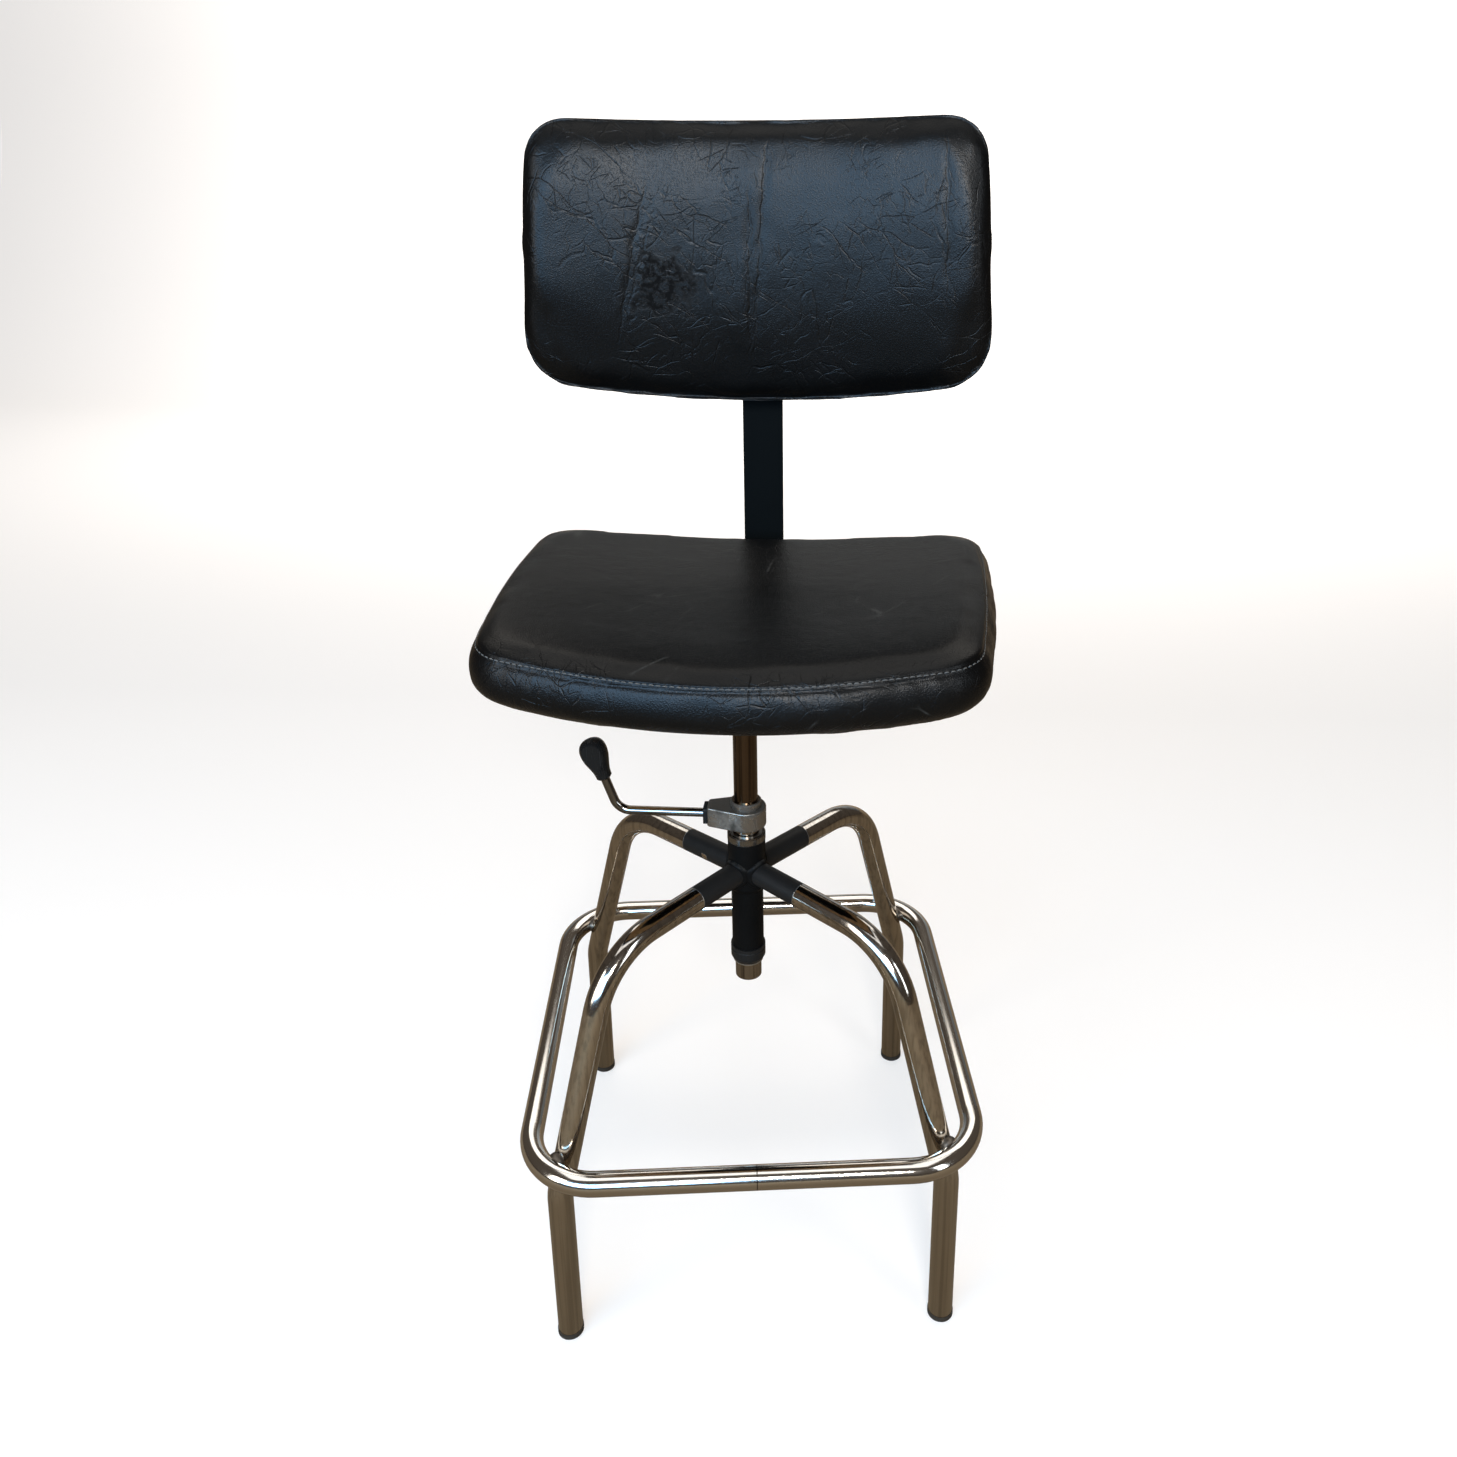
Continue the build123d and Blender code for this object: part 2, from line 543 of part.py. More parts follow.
def back_outline(inset, lip):
    """The backrest's upright outline, drawn in by inset at the sides and top and by lip at the bottom."""
    low, top = BACK_LOW + lip, BACK_TOP - inset
    half_low, half_mid, half_top = BACK_HALF_LOW - inset, BACK_HALF_MID - inset, BACK_HALF_TOP - inset
    low_end, top_end = low + BACK_LOW_BOW, top + BACK_TOP_BOW
    middle = BACK_LOW + BACK_LOW_BOW + BACK_MID_UP
    face = make_face([
        ThreePointArc((-half_low, low_end), (0, low), (half_low, low_end)),
        ThreePointArc((half_low, low_end), (half_mid, middle), (half_top, top_end)),
        ThreePointArc((half_top, top_end), (0, top), (-half_top, top_end)),
        ThreePointArc((-half_top, top_end), (-half_mid, middle), (-half_low, low_end)),
    ])
    corners = face.vertices().sort_by(Axis.Y)
    face = fillet(corners[:2], BACK_CORNER_LOW - lip / 2)
    return fillet(face.vertices().sort_by(Axis.Y)[-2:], BACK_CORNER_TOP - inset)


def curved_slab(outline, rear, thickness):
    """A slab bent about an upright axis in front of it, cut to an outline."""
    ring_r = BACK_R - (SHELL_REAR - rear)
    band = Circle(ring_r) - Circle(ring_r - thickness)
    slab = Pos(0, rear - ring_r, 0) * extrude(band, 2 * POST_TOP)
    return slab & extrude(Plane.XZ * outline, -2 * POST_FRONT)


shell_front = SHELL_REAR - SHELL_T
back_shell = curved_slab(back_outline(SHELL_INSET, SHELL_INSET - SHELL_LIP), SHELL_REAR, SHELL_T)
back_cushion = curved_slab(back_outline(0, 0), shell_front - SHELL_GAP, BACK_T)


def bent_rim(slab, rear, radius):
    """The edges of a bent slab that lie on the cylinder of this radius."""
    axis = Vector(0, rear, 0)
    rim = []
    for edge in slab.edges():
        ends = [edge @ t for t in (0, 0.5, 1)]
        if all(abs(Vector(p.X, p.Y - axis.Y, 0).length - radius) < 0.01 for p in ends):
            rim.append(edge)
    return rim


back_rear = shell_front - SHELL_GAP
back_rear_r = BACK_R - (SHELL_REAR - back_rear)
back_axis = back_rear - back_rear_r
back_cushion = fillet(bent_rim(back_cushion, back_axis, back_rear_r - BACK_T), BACK_FRONT_ROUND)
back_cushion = fillet(bent_rim(back_cushion, back_axis, back_rear_r), BACK_REAR_ROUND)

bracket_spots = [(x, z) for x in (-BACK_SCREW_X, BACK_SCREW_X) for z in (-BACK_SCREW_Z, BACK_SCREW_Z)]
bracket_plan = RectangleRounded(BRACKET_W, BRACKET_H, BRACKET_ROUND)
for x, z in bracket_spots:
    bracket_plan -= Pos(x, z) * Circle(BACK_SCREW_D / 2 + BOLT_PLAY)
bracket_face = Plane(origin=(0, SHELL_REAR, PIVOT_Z), x_dir=(1, 0, 0), z_dir=(0, -1, 0))
back_bracket = extrude(bracket_face * bracket_plan, -BRACKET_T)
ear_base = PIVOT_Y - SHELL_REAR - BRACKET_T
ear_plan = Circle(LUG_R) + Pos(-ear_base / 2, 0) * Rectangle(ear_base, 2 * LUG_R)
ear_plan -= Circle(PIN_D / 2 + PIN_FIT)
ear = extrude(Plane.YZ * ear_plan, EAR_T)
ear_x = LUG_GAP - EAR_GAP - EAR_T
for x in (ear_x, -ear_x - EAR_T):
    back_bracket += Pos(x, PIVOT_Y, PIVOT_Z) * ear
screw_head = rod(BACK_SCREW_HEAD, BACK_SCREW_HEAD_H)
screw_head = fillet(screw_head.edges().group_by(Axis.Z)[0], BACK_SCREW_DOME)
back_screw = Pos(0, 0, -BACK_SCREW_HEAD_H) * screw_head + rod(BACK_SCREW_D, BRACKET_T + BACK_SCREW_IN)
shell_hole = rod(BACK_SCREW_D + 2 * BOLT_PLAY, BACK_SCREW_IN + BRACKET_T + BOLT_PLAY)
back_screws = []
for x, z in bracket_spots:
    spot = bracket_face * Pos(x, z, -BRACKET_T)
    back_screws.append(spot * back_screw)
    back_shell -= spot * shell_hole

nodes = {
    "hub_tube": hub_tube,
    "leg_rear_right": leg_place(0) * leg,
    "leg_rear_left": leg_place(1) * leg,
    "leg_front_left": leg_place(2) * leg,
    "leg_front_right": leg_place(3) * leg,
    "foot_ring": foot_ring,
    "ring_welds": Compound([leg_place(i) * weld for i in range(LEG_COUNT)]),
    "glides": Compound([leg_place(i) * glide for i in range(LEG_COUNT)]),
    "lower_bush": lower_bush,
    "hub_collar": hub_collar,
    "upper_bush": upper_bush,
    "bearing_cup": bearing_cup,
    "thrust_race": thrust_race,
    "thrust_washer": thrust_washer,
    "guide_sleeve": guide_sleeve,
    "sleeve_shoulder": sleeve_shoulder,
    "retaining_clip": retaining_clip,
    "clamp_body": clamp_body,
    "clamp_washer": clamp_washer,
    "pressure_pad": pressure_pad,
    "lever_rod": lever_rod,
    "lever_grip": lever_grip,
    "column_tube": column_tube,
    "column_plug": column_plug,
    "seat_socket": seat_socket,
    "seat_plate": seat_plate,
    "seat_pan": seat_pan,
    "seat_cushion": seat_cushion,
    "seat_bolts": Compound(seat_bolts),
    "post_channel": post_channel,
    "channel_nut": channel_nut,
    "depth_screw": depth_screw,
    "depth_knob": depth_knob,
    "back_post": back_post,
    "back_carriage": back_carriage,
    "carriage_nut": carriage_nut,
    "tilt_pin": tilt_pin,
    "height_screw": height_screw,
    "height_knob": height_knob,
    "back_shell": back_shell,
    "back_cushion": back_cushion,
    "back_bracket": back_bracket,
    "back_screws": Compound(back_screws),
}
os.makedirs("parts", exist_ok=True)
for name, solid in nodes.items():
    export_step(Pos(0, -ORIGIN_Y, 0) * solid, "parts/" + name + ".step")
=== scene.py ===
import math

import bpy
from mathutils import Matrix, Vector
from mathutils.bvhtree import BVHTree
from mathutils.noise import noise as random_height


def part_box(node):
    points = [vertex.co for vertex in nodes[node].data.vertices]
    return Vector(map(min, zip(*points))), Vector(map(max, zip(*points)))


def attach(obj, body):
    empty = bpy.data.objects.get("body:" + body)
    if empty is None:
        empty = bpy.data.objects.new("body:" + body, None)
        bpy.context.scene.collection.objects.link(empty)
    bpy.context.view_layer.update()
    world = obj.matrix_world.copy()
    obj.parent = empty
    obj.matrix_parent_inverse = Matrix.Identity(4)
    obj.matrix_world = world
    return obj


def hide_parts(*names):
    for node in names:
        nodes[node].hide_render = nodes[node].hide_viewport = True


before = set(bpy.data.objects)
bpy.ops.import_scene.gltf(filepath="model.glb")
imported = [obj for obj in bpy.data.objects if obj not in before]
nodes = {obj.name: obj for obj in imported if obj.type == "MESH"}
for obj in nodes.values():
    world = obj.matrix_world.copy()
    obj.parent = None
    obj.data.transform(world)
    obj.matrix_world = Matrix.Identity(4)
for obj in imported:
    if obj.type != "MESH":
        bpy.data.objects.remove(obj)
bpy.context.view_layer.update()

# The column stands this far in front of the row's origin, in metres, and the base is turned under the seat.
COLUMN_Y = -0.0145
BASE_TURN = math.radians(6.9)

# The seat's seam: its height in the middle, and its rise towards the sides per square of the distance
SEAM_Z = 0.629
SEAM_RISE = 0.31

# How far the seam draws the cover in, how far above and below it that is felt, and the narrow groove in it
SEAM_TUCK = 0.0028
TUCK_ABOVE, TUCK_BELOW = 0.011, 0.014
SEAM_GROOVE, GROOVE_HALF = 0.0013, 0.0022

# Upright folds in the band below the seam: depth, waves per metre in x, y and z, and where the band lies
BAND_FOLD = 0.0014
FOLD_WAVES = (34, 34, 12)
BAND_DOWN = 0.014

# The seam works on what faces sideways: the normal's z at which that starts, and how far from there to its
# full effect
LEVEL_NORMAL, TO_FULL = 0.95, 0.45

# Radius of the seat pan's upper face, on which the foam lies
SADDLE_R = 1.657

# The seat's top falls to its front edge: share of its height over the seam that it loses there, how far back
# the fall starts, and the width of the strips in which the edge is looked for
SEAT_FALL = 0.5
SEAT_FALL_REACH = 0.075
EDGE_STRIP = 0.008

# Stitches along the seam
STITCH_PITCH, STITCH_LENGTH, STITCH_THICK = 0.0052, 0.004, 0.0011

# The backrest's front falls back to its upper, lower and side edges
BACK_FALL_TOP, BACK_FALL_LOW, BACK_FALL_SIDE = 0.013, 0.019, 0.008

# Share of its width by which the cover narrows from its middle to its top, and widens to its bottom
BACK_TAPER = 0.02

# Fuller sides above the lower corners: share of the width, height and reach as shares of half the height
BACK_BULGE, BULGE_AT, BULGE_REACH = 0.028, -0.5, 0.28

# Slow waves of the backrest's front, and its long creases: depth, half width, fade at the ends and sway
BACK_WAVE, WAVES = 0.0008, 22
BACK_CREASE, CREASE_HALF, CREASE_FADE = 0.0007, 0.0035, 0.02
CREASE_SWAY, SWAY_WAVES, SWAY_APART = 0.004, 45, 50

# The normal's y below which the foam, and then the cover on it, counts as the backrest's front
FOAM_FRONT, COVER_FRONT = -0.2, -0.3

# Covers: size of the even mesh, first shrink, the gap at which CAD faces are joined, and how far each cover
# is let out at the ends of x, y and z
VOXEL, SHRINK, MERGE_GAP = 0.005, 0.0005, 0.00002
SEAT_REACH = (0.0035, 0.0030, 0.0)
BACK_REACH = (0.0045, 0.0, 0.0040)

PRESSURE, STIFFNESS, CLOTH_STEPS = 4.0, 25.0, 20
LARGEST_RISE, QUICK_SHARE = 0.003, 0.6


def deselect_all():
    """Nothing selected and nothing active in edit mode."""
    if bpy.context.object and bpy.context.object.mode != "OBJECT":
        bpy.ops.object.mode_set(mode="OBJECT")
    bpy.ops.object.select_all(action="DESELECT")


def make_active(obj):
    deselect_all()
    obj.select_set(True)
    bpy.context.view_layer.objects.active = obj


# Shader building blocks


def new_group(name, inputs, outputs):
    """A node group with number inputs, which have defaults, and number outputs."""
    group = bpy.data.node_groups.new(name, "ShaderNodeTree")
    for label, value in inputs.items():
        socket = group.interface.new_socket(label, in_out="INPUT", socket_type="NodeSocketFloat")
        socket.default_value = value
    for label in outputs:
        group.interface.new_socket(label, in_out="OUTPUT", socket_type="NodeSocketFloat")
    entry = group.nodes.new("NodeGroupInput")
    leave = group.nodes.new("NodeGroupOutput")
    return group, entry.outputs, leave.inputs


def add_node(tree, kind, links=(), **values):
    """Adds a node, sets its fields, and feeds its sockets: a number sets one, a socket is linked to it."""
    node = tree.nodes.new(kind)
    for field, value in values.items():
        setattr(node, field, value)
    for key, source in dict(links).items():
        socket = node.inputs[key]
        if isinstance(source, bpy.types.NodeSocket):
            tree.links.new(source, socket)
        else:
            socket.default_value = source
    return node


def math_of(tree, operation, a, b=0.0, clamp=False):
    return add_node(tree, "ShaderNodeMath", {0: a, 1: b}, operation=operation, use_clamp=clamp).outputs[0]


def times(tree, a, b):
    return math_of(tree, "MULTIPLY", a, b)


def plus(tree, a, b, clamp=False):
    return math_of(tree, "ADD", a, b, clamp)


def minus(tree, a, b):
    return math_of(tree, "SUBTRACT", a, b)


def larger(tree, a, b):
    return math_of(tree, "MAXIMUM", a, b)


def ramp_between(tree, value, low, high):
    """0 below low and 1 above high, smooth between them."""
    node = add_node(tree, "ShaderNodeMapRange", {"Value": value, "From Min": low, "From Max": high},
                    interpolation_type="SMOOTHSTEP")
    return node.outputs["Result"]


def fall_between(tree, value, low, high):
    """1 below low and 0 above high, smooth between them."""
    return minus(tree, 1.0, ramp_between(tree, value, low, high))


def colour_mix(tree, factor, first, second):
    links = {0: factor, 6: first, 7: second}
    return add_node(tree, "ShaderNodeMix", links, data_type="RGBA").outputs[2]


def value_mix(tree, factor, first, second):
    links = {0: factor, 2: first, 3: second}
    return add_node(tree, "ShaderNodeMix", links, data_type="FLOAT").outputs[0]


def place(tree):
    return tree.nodes.new("ShaderNodeTexCoord").outputs["Object"]


def place_parts(tree):
    """X, Y and Z of the place in the shared frame."""
    return add_node(tree, "ShaderNodeSeparateXYZ", {0: place(tree)}).outputs


def facing_up(tree):
    """The upward share of the surface's normal."""
    normal = tree.nodes.new("ShaderNodeTexCoord").outputs["Normal"]
    return add_node(tree, "ShaderNodeSeparateXYZ", {0: normal}).outputs["Z"]


def noise(tree, scale, detail=3.0, rough=0.55, vector=None, distortion=0.0):
    links = {"Scale": scale, "Detail": detail, "Roughness": rough, "Distortion": distortion,
             "Vector": vector or place(tree)}
    return add_node(tree, "ShaderNodeTexNoise", links).outputs["Fac"]


def broken_lines(tree, spot, scale, turn, break_scale):
    """Branching lines that come and go, drawn out along an upright direction turned by some degrees."""
    drawn = add_node(tree, "ShaderNodeMapping", vector_type="TEXTURE", links={
        "Vector": spot, "Rotation": (0.0, math.radians(turn), 0.0), "Scale": (1.0, 1.0, 3.4)}).outputs[0]
    cells = add_node(tree, "ShaderNodeTexVoronoi", {"Vector": drawn, "Scale": scale},
                     feature="DISTANCE_TO_EDGE")
    line = fall_between(tree, cells.outputs["Distance"], 0.0, 0.03)
    return times(tree, line, ramp_between(tree, noise(tree, break_scale, 2.0), 0.46, 0.62))


def leatherette_group():
    """Coated cloth: fine pebble grain, broken creases, puckers between them, and slow changes of tone."""
    group, given, out = new_group("leatherette", {"Crease Scale": 26.0, "Patch Level": 0.5},
                                  ("Grain", "Crease", "Pucker", "Tone"))
    spot = place(group)
    cells = add_node(group, "ShaderNodeTexVoronoi", {"Vector": spot, "Scale": 700.0})
    pebble = ramp_between(group, cells.outputs["Distance"], 0.08, 0.62)
    fine = times(group, noise(group, 1500.0, 2.0), 0.35)
    grain = minus(group, fine, times(group, pebble, 0.65))
    warp = add_node(group, "ShaderNodeTexNoise", {"Vector": spot, "Scale": 14.0, "Detail": 3.0})
    shifted = add_node(group, "ShaderNodeVectorMath", {0: warp.outputs["Color"], 1: (0.5, 0.5, 0.5)},
                       operation="SUBTRACT").outputs[0]
    pull = add_node(group, "ShaderNodeVectorMath", {0: shifted, "Scale": 0.035}, operation="SCALE").outputs[0]
    bent = add_node(group, "ShaderNodeVectorMath", {0: spot, 1: pull}, operation="ADD").outputs[0]
    creases = broken_lines(group, bent, given["Crease Scale"], 8.0, 30.0)
    for finer, turn, strength in ((1.3, -52.0, 0.9), (1.7, 66.0, 0.8), (2.4, -20.0, 0.6), (2.9, 35.0, 0.5)):
        lines = broken_lines(group, bent, times(group, given["Crease Scale"], finer), turn, 20.0 * finer)
        creases = larger(group, creases, times(group, lines, strength))
    patch = ramp_between(group, noise(group, 11.0, 3.0), given["Patch Level"],
                         plus(group, given["Patch Level"], 0.14))
    group.links.new(grain, out["Grain"])
    group.links.new(times(group, creases, patch), out["Crease"])
    group.links.new(times(group, noise(group, 85.0, 3.0, vector=bent), patch), out["Pucker"])
    group.links.new(noise(group, 5.5, 4.0), out["Tone"])
    return group


def wear_group():
    """Handling marks on metal: faint cloudy dulling, fine scratches and rare specks; also upright streaks,
    which on chrome carry grime and painted dark reflection.
    """
    group, given, out = new_group("metal_wear", {"Speck Level": 0.74},
                                  ("Cloud", "Scratch", "Streak", "Speck"))
    spot = place(group)
    stretched = add_node(group, "ShaderNodeMapping", {"Vector": spot, "Scale": (1.0, 1.0, 0.05)}).outputs[0]
    scratch = ramp_between(group, noise(group, 900.0, 2.0, vector=stretched), 0.58, 0.75)
    speck = ramp_between(group, noise(group, 240.0, 4.0, 0.7), given["Speck Level"],
                         plus(group, given["Speck Level"], 0.03))
    group.links.new(noise(group, 18.0, 4.0), out["Cloud"])
    group.links.new(scratch, out["Scratch"])
    upright = add_node(group, "ShaderNodeMapping", {"Vector": spot, "Scale": (1.0, 1.0, 0.012)}).outputs[0]
    group.links.new(ramp_between(group, noise(group, 330.0, 3.0, vector=upright), 0.42, 0.68), out["Streak"])
    group.links.new(speck, out["Speck"])
    return group


def cast_group():
    """The skin of a sand casting: coarse and fine grit."""
    group, given, out = new_group("cast_skin", {"Grit Scale": 420.0}, ("Height", "Soil"))
    coarse = noise(group, given["Grit Scale"], 4.0, 0.65)
    fine = noise(group, 1900.0, 2.0)
    group.links.new(plus(group, coarse, times(group, fine, 0.4)), out["Height"])
    group.links.new(ramp_between(group, noise(group, 55.0, 4.0), 0.45, 0.68), out["Soil"])
    return group


LEATHERETTE, WEAR, CAST = leatherette_group(), wear_group(), cast_group()


def new_material(name, **plain):
    """A material with its Principled shader; plain values go straight onto the shader's own sockets."""
    material = bpy.data.materials.new(name)
    material.use_nodes = True
    shader = material.node_tree.nodes["Principled BSDF"]
    for label, value in plain.items():
        shader.inputs[label.replace("_", " ")].default_value = value
    return material, material.node_tree, shader


def use_group(tree, group, **values):
    node = add_node(tree, "ShaderNodeGroup", node_tree=group)
    for label, value in values.items():
        node.inputs[label.replace("_", " ")].default_value = value
    return node.outputs


def set_bump(tree, shader, height, depth, strength=1.0, below=None):
    links = {"Height": height, "Strength": strength, "Distance": depth}
    if below:
        links["Normal"] = below
    bump = add_node(tree, "ShaderNodeBump", links)
    tree.links.new(bump.outputs["Normal"], shader.inputs["Normal"])
    return bump.outputs["Normal"]


def between(tree, value, low, high, soft):
    """1 from low to high, fading to 0 over soft on both sides."""
    rise = ramp_between(tree, value, low - soft, low)
    return minus(tree, rise, ramp_between(tree, value, high, high + soft))


# Colours of the covers: the range of their tone, the painted shade in creases, where scuffed and where rubbed
# through
COVER_DARK, COVER_LIGHT = (0.0009, 0.0010, 0.0011, 1), (0.0022, 0.0022, 0.0022, 1)
COVER_CREASE_SHADE = (0.001, 0.001, 0.001, 1)
COVER_SCUFF = (0.035, 0.034, 0.031, 1)
COVER_RUBBED = (0.0006, 0.0006, 0.0006, 1)
COVER_SPECULAR = 0.20


def finish_cover(tree, shader, skin, creases, worn, roughness, crease_depth, scuffs=0.0):
    """Joins the grain, the creases, the worn places and the scuffs of a leatherette cover to its shader."""
    tone = ramp_between(tree, skin["Tone"], 0.32, 0.7)
    colour = colour_mix(tree, tone, COVER_DARK, COVER_LIGHT)
    # Painted shade: the colour darkens along creases and along the seat's seam groove.
    colour = colour_mix(tree, times(tree, creases, 0.5), colour, COVER_CREASE_SHADE)
    colour = colour_mix(tree, scuffs, colour, COVER_SCUFF)
    tree.links.new(colour_mix(tree, worn, colour, COVER_RUBBED), shader.inputs["Base Color"])
    rough = plus(tree, roughness, times(tree, skin["Tone"], 0.12))
    tree.links.new(plus(tree, rough, times(tree, worn, 0.6)), shader.inputs["Roughness"])
    grain = set_bump(tree, shader, skin["Grain"], 0.00026, 0.5)
    dents = plus(tree, creases, times(tree, worn, 1.2))
    dents = minus(tree, skin["Pucker"], dents)
    set_bump(tree, shader, dents, crease_depth, 0.8, grain)


# Upright creases of the backrest: place at mid height, lean, lowest and highest point, in metres
BACK_CREASES = ((-0.1126, 0.23, 0.845, 0.962), (-0.1050, 0.30, 0.872, 0.930), (0.0040, 0.07, 0.825, 1.002),
                (-0.0045, 0.02, 0.830, 0.960), (0.1750, -0.05, 0.880, 1.005))
BACK_MID_Z = 0.905

# Where the backrest's cover is rubbed through: x and z of the middle, and half its width and height
WORN_SPOT = (-0.088, 0.886)
WORN_SIZE = (0.040, 0.034)


def back_cover_material():
    """The backrest's cover: creased all over, with long upright creases and one spot rubbed through."""
    material, tree, shader = new_material("back_leatherette", Specular_IOR_Level=COVER_SPECULAR)
    skin = use_group(tree, LEATHERETTE, Crease_Scale=36.0, Patch_Level=0.38)
    parts = place_parts(tree)
    sway = times(tree, minus(tree, noise(tree, 60.0, 4.0), 0.5), 0.010)
    height = minus(tree, parts["Z"], BACK_MID_Z)
    creases = skin["Crease"]
    for at, lean, low, high in BACK_CREASES:
        line_x = plus(tree, times(tree, height, lean), at)
        off = minus(tree, parts["X"], plus(tree, line_x, sway))
        line = fall_between(tree, math_of(tree, "ABSOLUTE", off), 0.0003, 0.0018)
        line = times(tree, line, between(tree, parts["Z"], low, high, 0.02))
        creases = larger(tree, creases, times(tree, line, 0.9))
    across = math_of(tree, "DIVIDE", minus(tree, parts["X"], WORN_SPOT[0]), WORN_SIZE[0])
    upward = math_of(tree, "DIVIDE", minus(tree, parts["Z"], WORN_SPOT[1]), WORN_SIZE[1])
    reach = plus(tree, times(tree, across, across), times(tree, upward, upward))
    ragged = times(tree, minus(tree, noise(tree, 48.0, 4.0), 0.5), 4.0)
    inside = fall_between(tree, plus(tree, reach, ragged), 0.1, 1.0)
    flaked = ramp_between(tree, noise(tree, 160.0, 6.0, 0.65), 0.44, 0.56)
    finish_cover(tree, shader, skin, creases, times(tree, inside, flaked), 0.30, 0.00034)
    return material


def seat_cover_material():
    """The seat's cover: smooth on top, wrinkled along the seam and in the band below it."""
    material, tree, shader = new_material("seat_leatherette", Specular_IOR_Level=COVER_SPECULAR)
    skin = use_group(tree, LEATHERETTE, Crease_Scale=40.0, Patch_Level=0.40)
    parts = place_parts(tree)
    rise = times(tree, times(tree, parts["X"], parts["X"]), SEAM_RISE)
    off = minus(tree, parts["Z"], plus(tree, rise, SEAM_Z))
    # The seam's groove counts as a crease, so its line is darkened as painted shade as well as sunk by the
    # bump.
    groove = fall_between(tree, math_of(tree, "ABSOLUTE", off), 0.0003, 0.0015)
    rim = between(tree, off, -0.036, 0.004, 0.006)
    top_marks = plus(tree, times(tree, rim, 0.9), 0.12)
    creases = larger(tree, times(tree, skin["Crease"], top_marks), groove)
    level = add_node(tree, "ShaderNodeMapping",
                     {"Vector": place(tree), "Rotation": (math.radians(90), 0, 0)}).outputs[0]
    scuffs = times(tree, broken_lines(tree, level, 26.0, 32.0, 40.0),
                     ramp_between(tree, noise(tree, 9.0, 2.0), 0.56, 0.66))
    finish_cover(tree, shader, skin, creases, 0.0, 0.29, 0.00042, scuffs)
    return material


def shell_cover_material():
    """The covered back of the backrest's shell: tight and plain."""
    material, tree, shader = new_material("shell_leatherette", Specular_IOR_Level=COVER_SPECULAR)
    skin = use_group(tree, LEATHERETTE)
    finish_cover(tree, shader, skin, 0.0, 0.0, 0.36, 0.0001)
    return material


# Grime and painted dark reflection in the streaks of old chrome, the specks of rust on it, and the dirt in a
# butt joint
GRIME_AND_DARK_REFLECTION, RUST, JOINT = (0.035, 0.025, 0.016, 1), (0.05, 0.035, 0.022, 1), (0.03, 0.025, 0.02, 1)


def chrome_nodes(tree, dark, light, streaks):
    """Colour, roughness and marks of old chrome. The colour holds a painted reflection: dark and brown where
    it faces sideways and down, lighter where it faces up; upright streaks are dark with grime and painted
    reflection.
    """
    up = facing_up(tree)
    marks = use_group(tree, WEAR)
    cloud = times(tree, minus(tree, marks["Cloud"], 0.5), 0.35)
    # Painted reflection: the colour goes from dark to light as the surface turns to face up, broken by cloudy
    # dulling.
    painted_reflection_and_cloud = plus(tree, ramp_between(tree, up, -0.1, 0.95), cloud, clamp=True)
    colour = colour_mix(tree, painted_reflection_and_cloud, (*dark, 1), (*light, 1))
    # Dark upright streaks: partly grime, partly painted streaks of reflection.
    colour = colour_mix(tree, times(tree, marks["Streak"], streaks), colour, GRIME_AND_DARK_REFLECTION)
    colour = colour_mix(tree, times(tree, marks["Speck"], 0.7), colour, RUST)
    rough = plus(tree, 0.075, times(tree, marks["Cloud"], 0.1))
    rough = plus(tree, rough, times(tree, marks["Scratch"], 0.06))
    rough = plus(tree, rough, times(tree, marks["Speck"], 0.4))
    return colour, rough, marks


def chrome_material(name, dark, light, streaks, joint=False):
    """Chromed tube; joint draws the butt joint across the front bar of the foot ring."""
    material, tree, shader = new_material(name, Metallic=1.0)
    colour, rough, _ = chrome_nodes(tree, dark, light, streaks)
    if joint:
        links = {"Vector": place(tree), "Rotation": (0, 0, -BASE_TURN)}
        turned = add_node(tree, "ShaderNodeMapping", links, vector_type="POINT").outputs[0]
        parts = add_node(tree, "ShaderNodeSeparateXYZ", {0: turned}).outputs
        near = fall_between(tree, math_of(tree, "ABSOLUTE", parts["X"]), 0.0002, 0.0007)
        front = math_of(tree, "LESS_THAN", parts["Y"], 0.0)
        line = times(tree, near, front)
        colour = colour_mix(tree, times(tree, line, 0.85), colour, JOINT)
    tree.links.new(colour, shader.inputs["Base Color"])
    tree.links.new(rough, shader.inputs["Roughness"])
    return material


# Middle of the place where the paint has come off the rear left arm, and how far that reaches
PAINT_CHIP = (-0.0435, 0.0061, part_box("leg_rear_left")[1][2] - 0.014)
CHIP_REACH = 0.0060

# Paint on the roots of the legs, and on painted pieces the dust with a painted sheen on what faces up, and
# the metal under chips
ROOT_DARK, ROOT_LIGHT = (0.004, 0.004, 0.004, 1), (0.014, 0.013, 0.012, 1)
DUST_AND_SHEEN, CHIPPED = (0.13, 0.123, 0.11, 1), (0.34, 0.32, 0.29, 1)


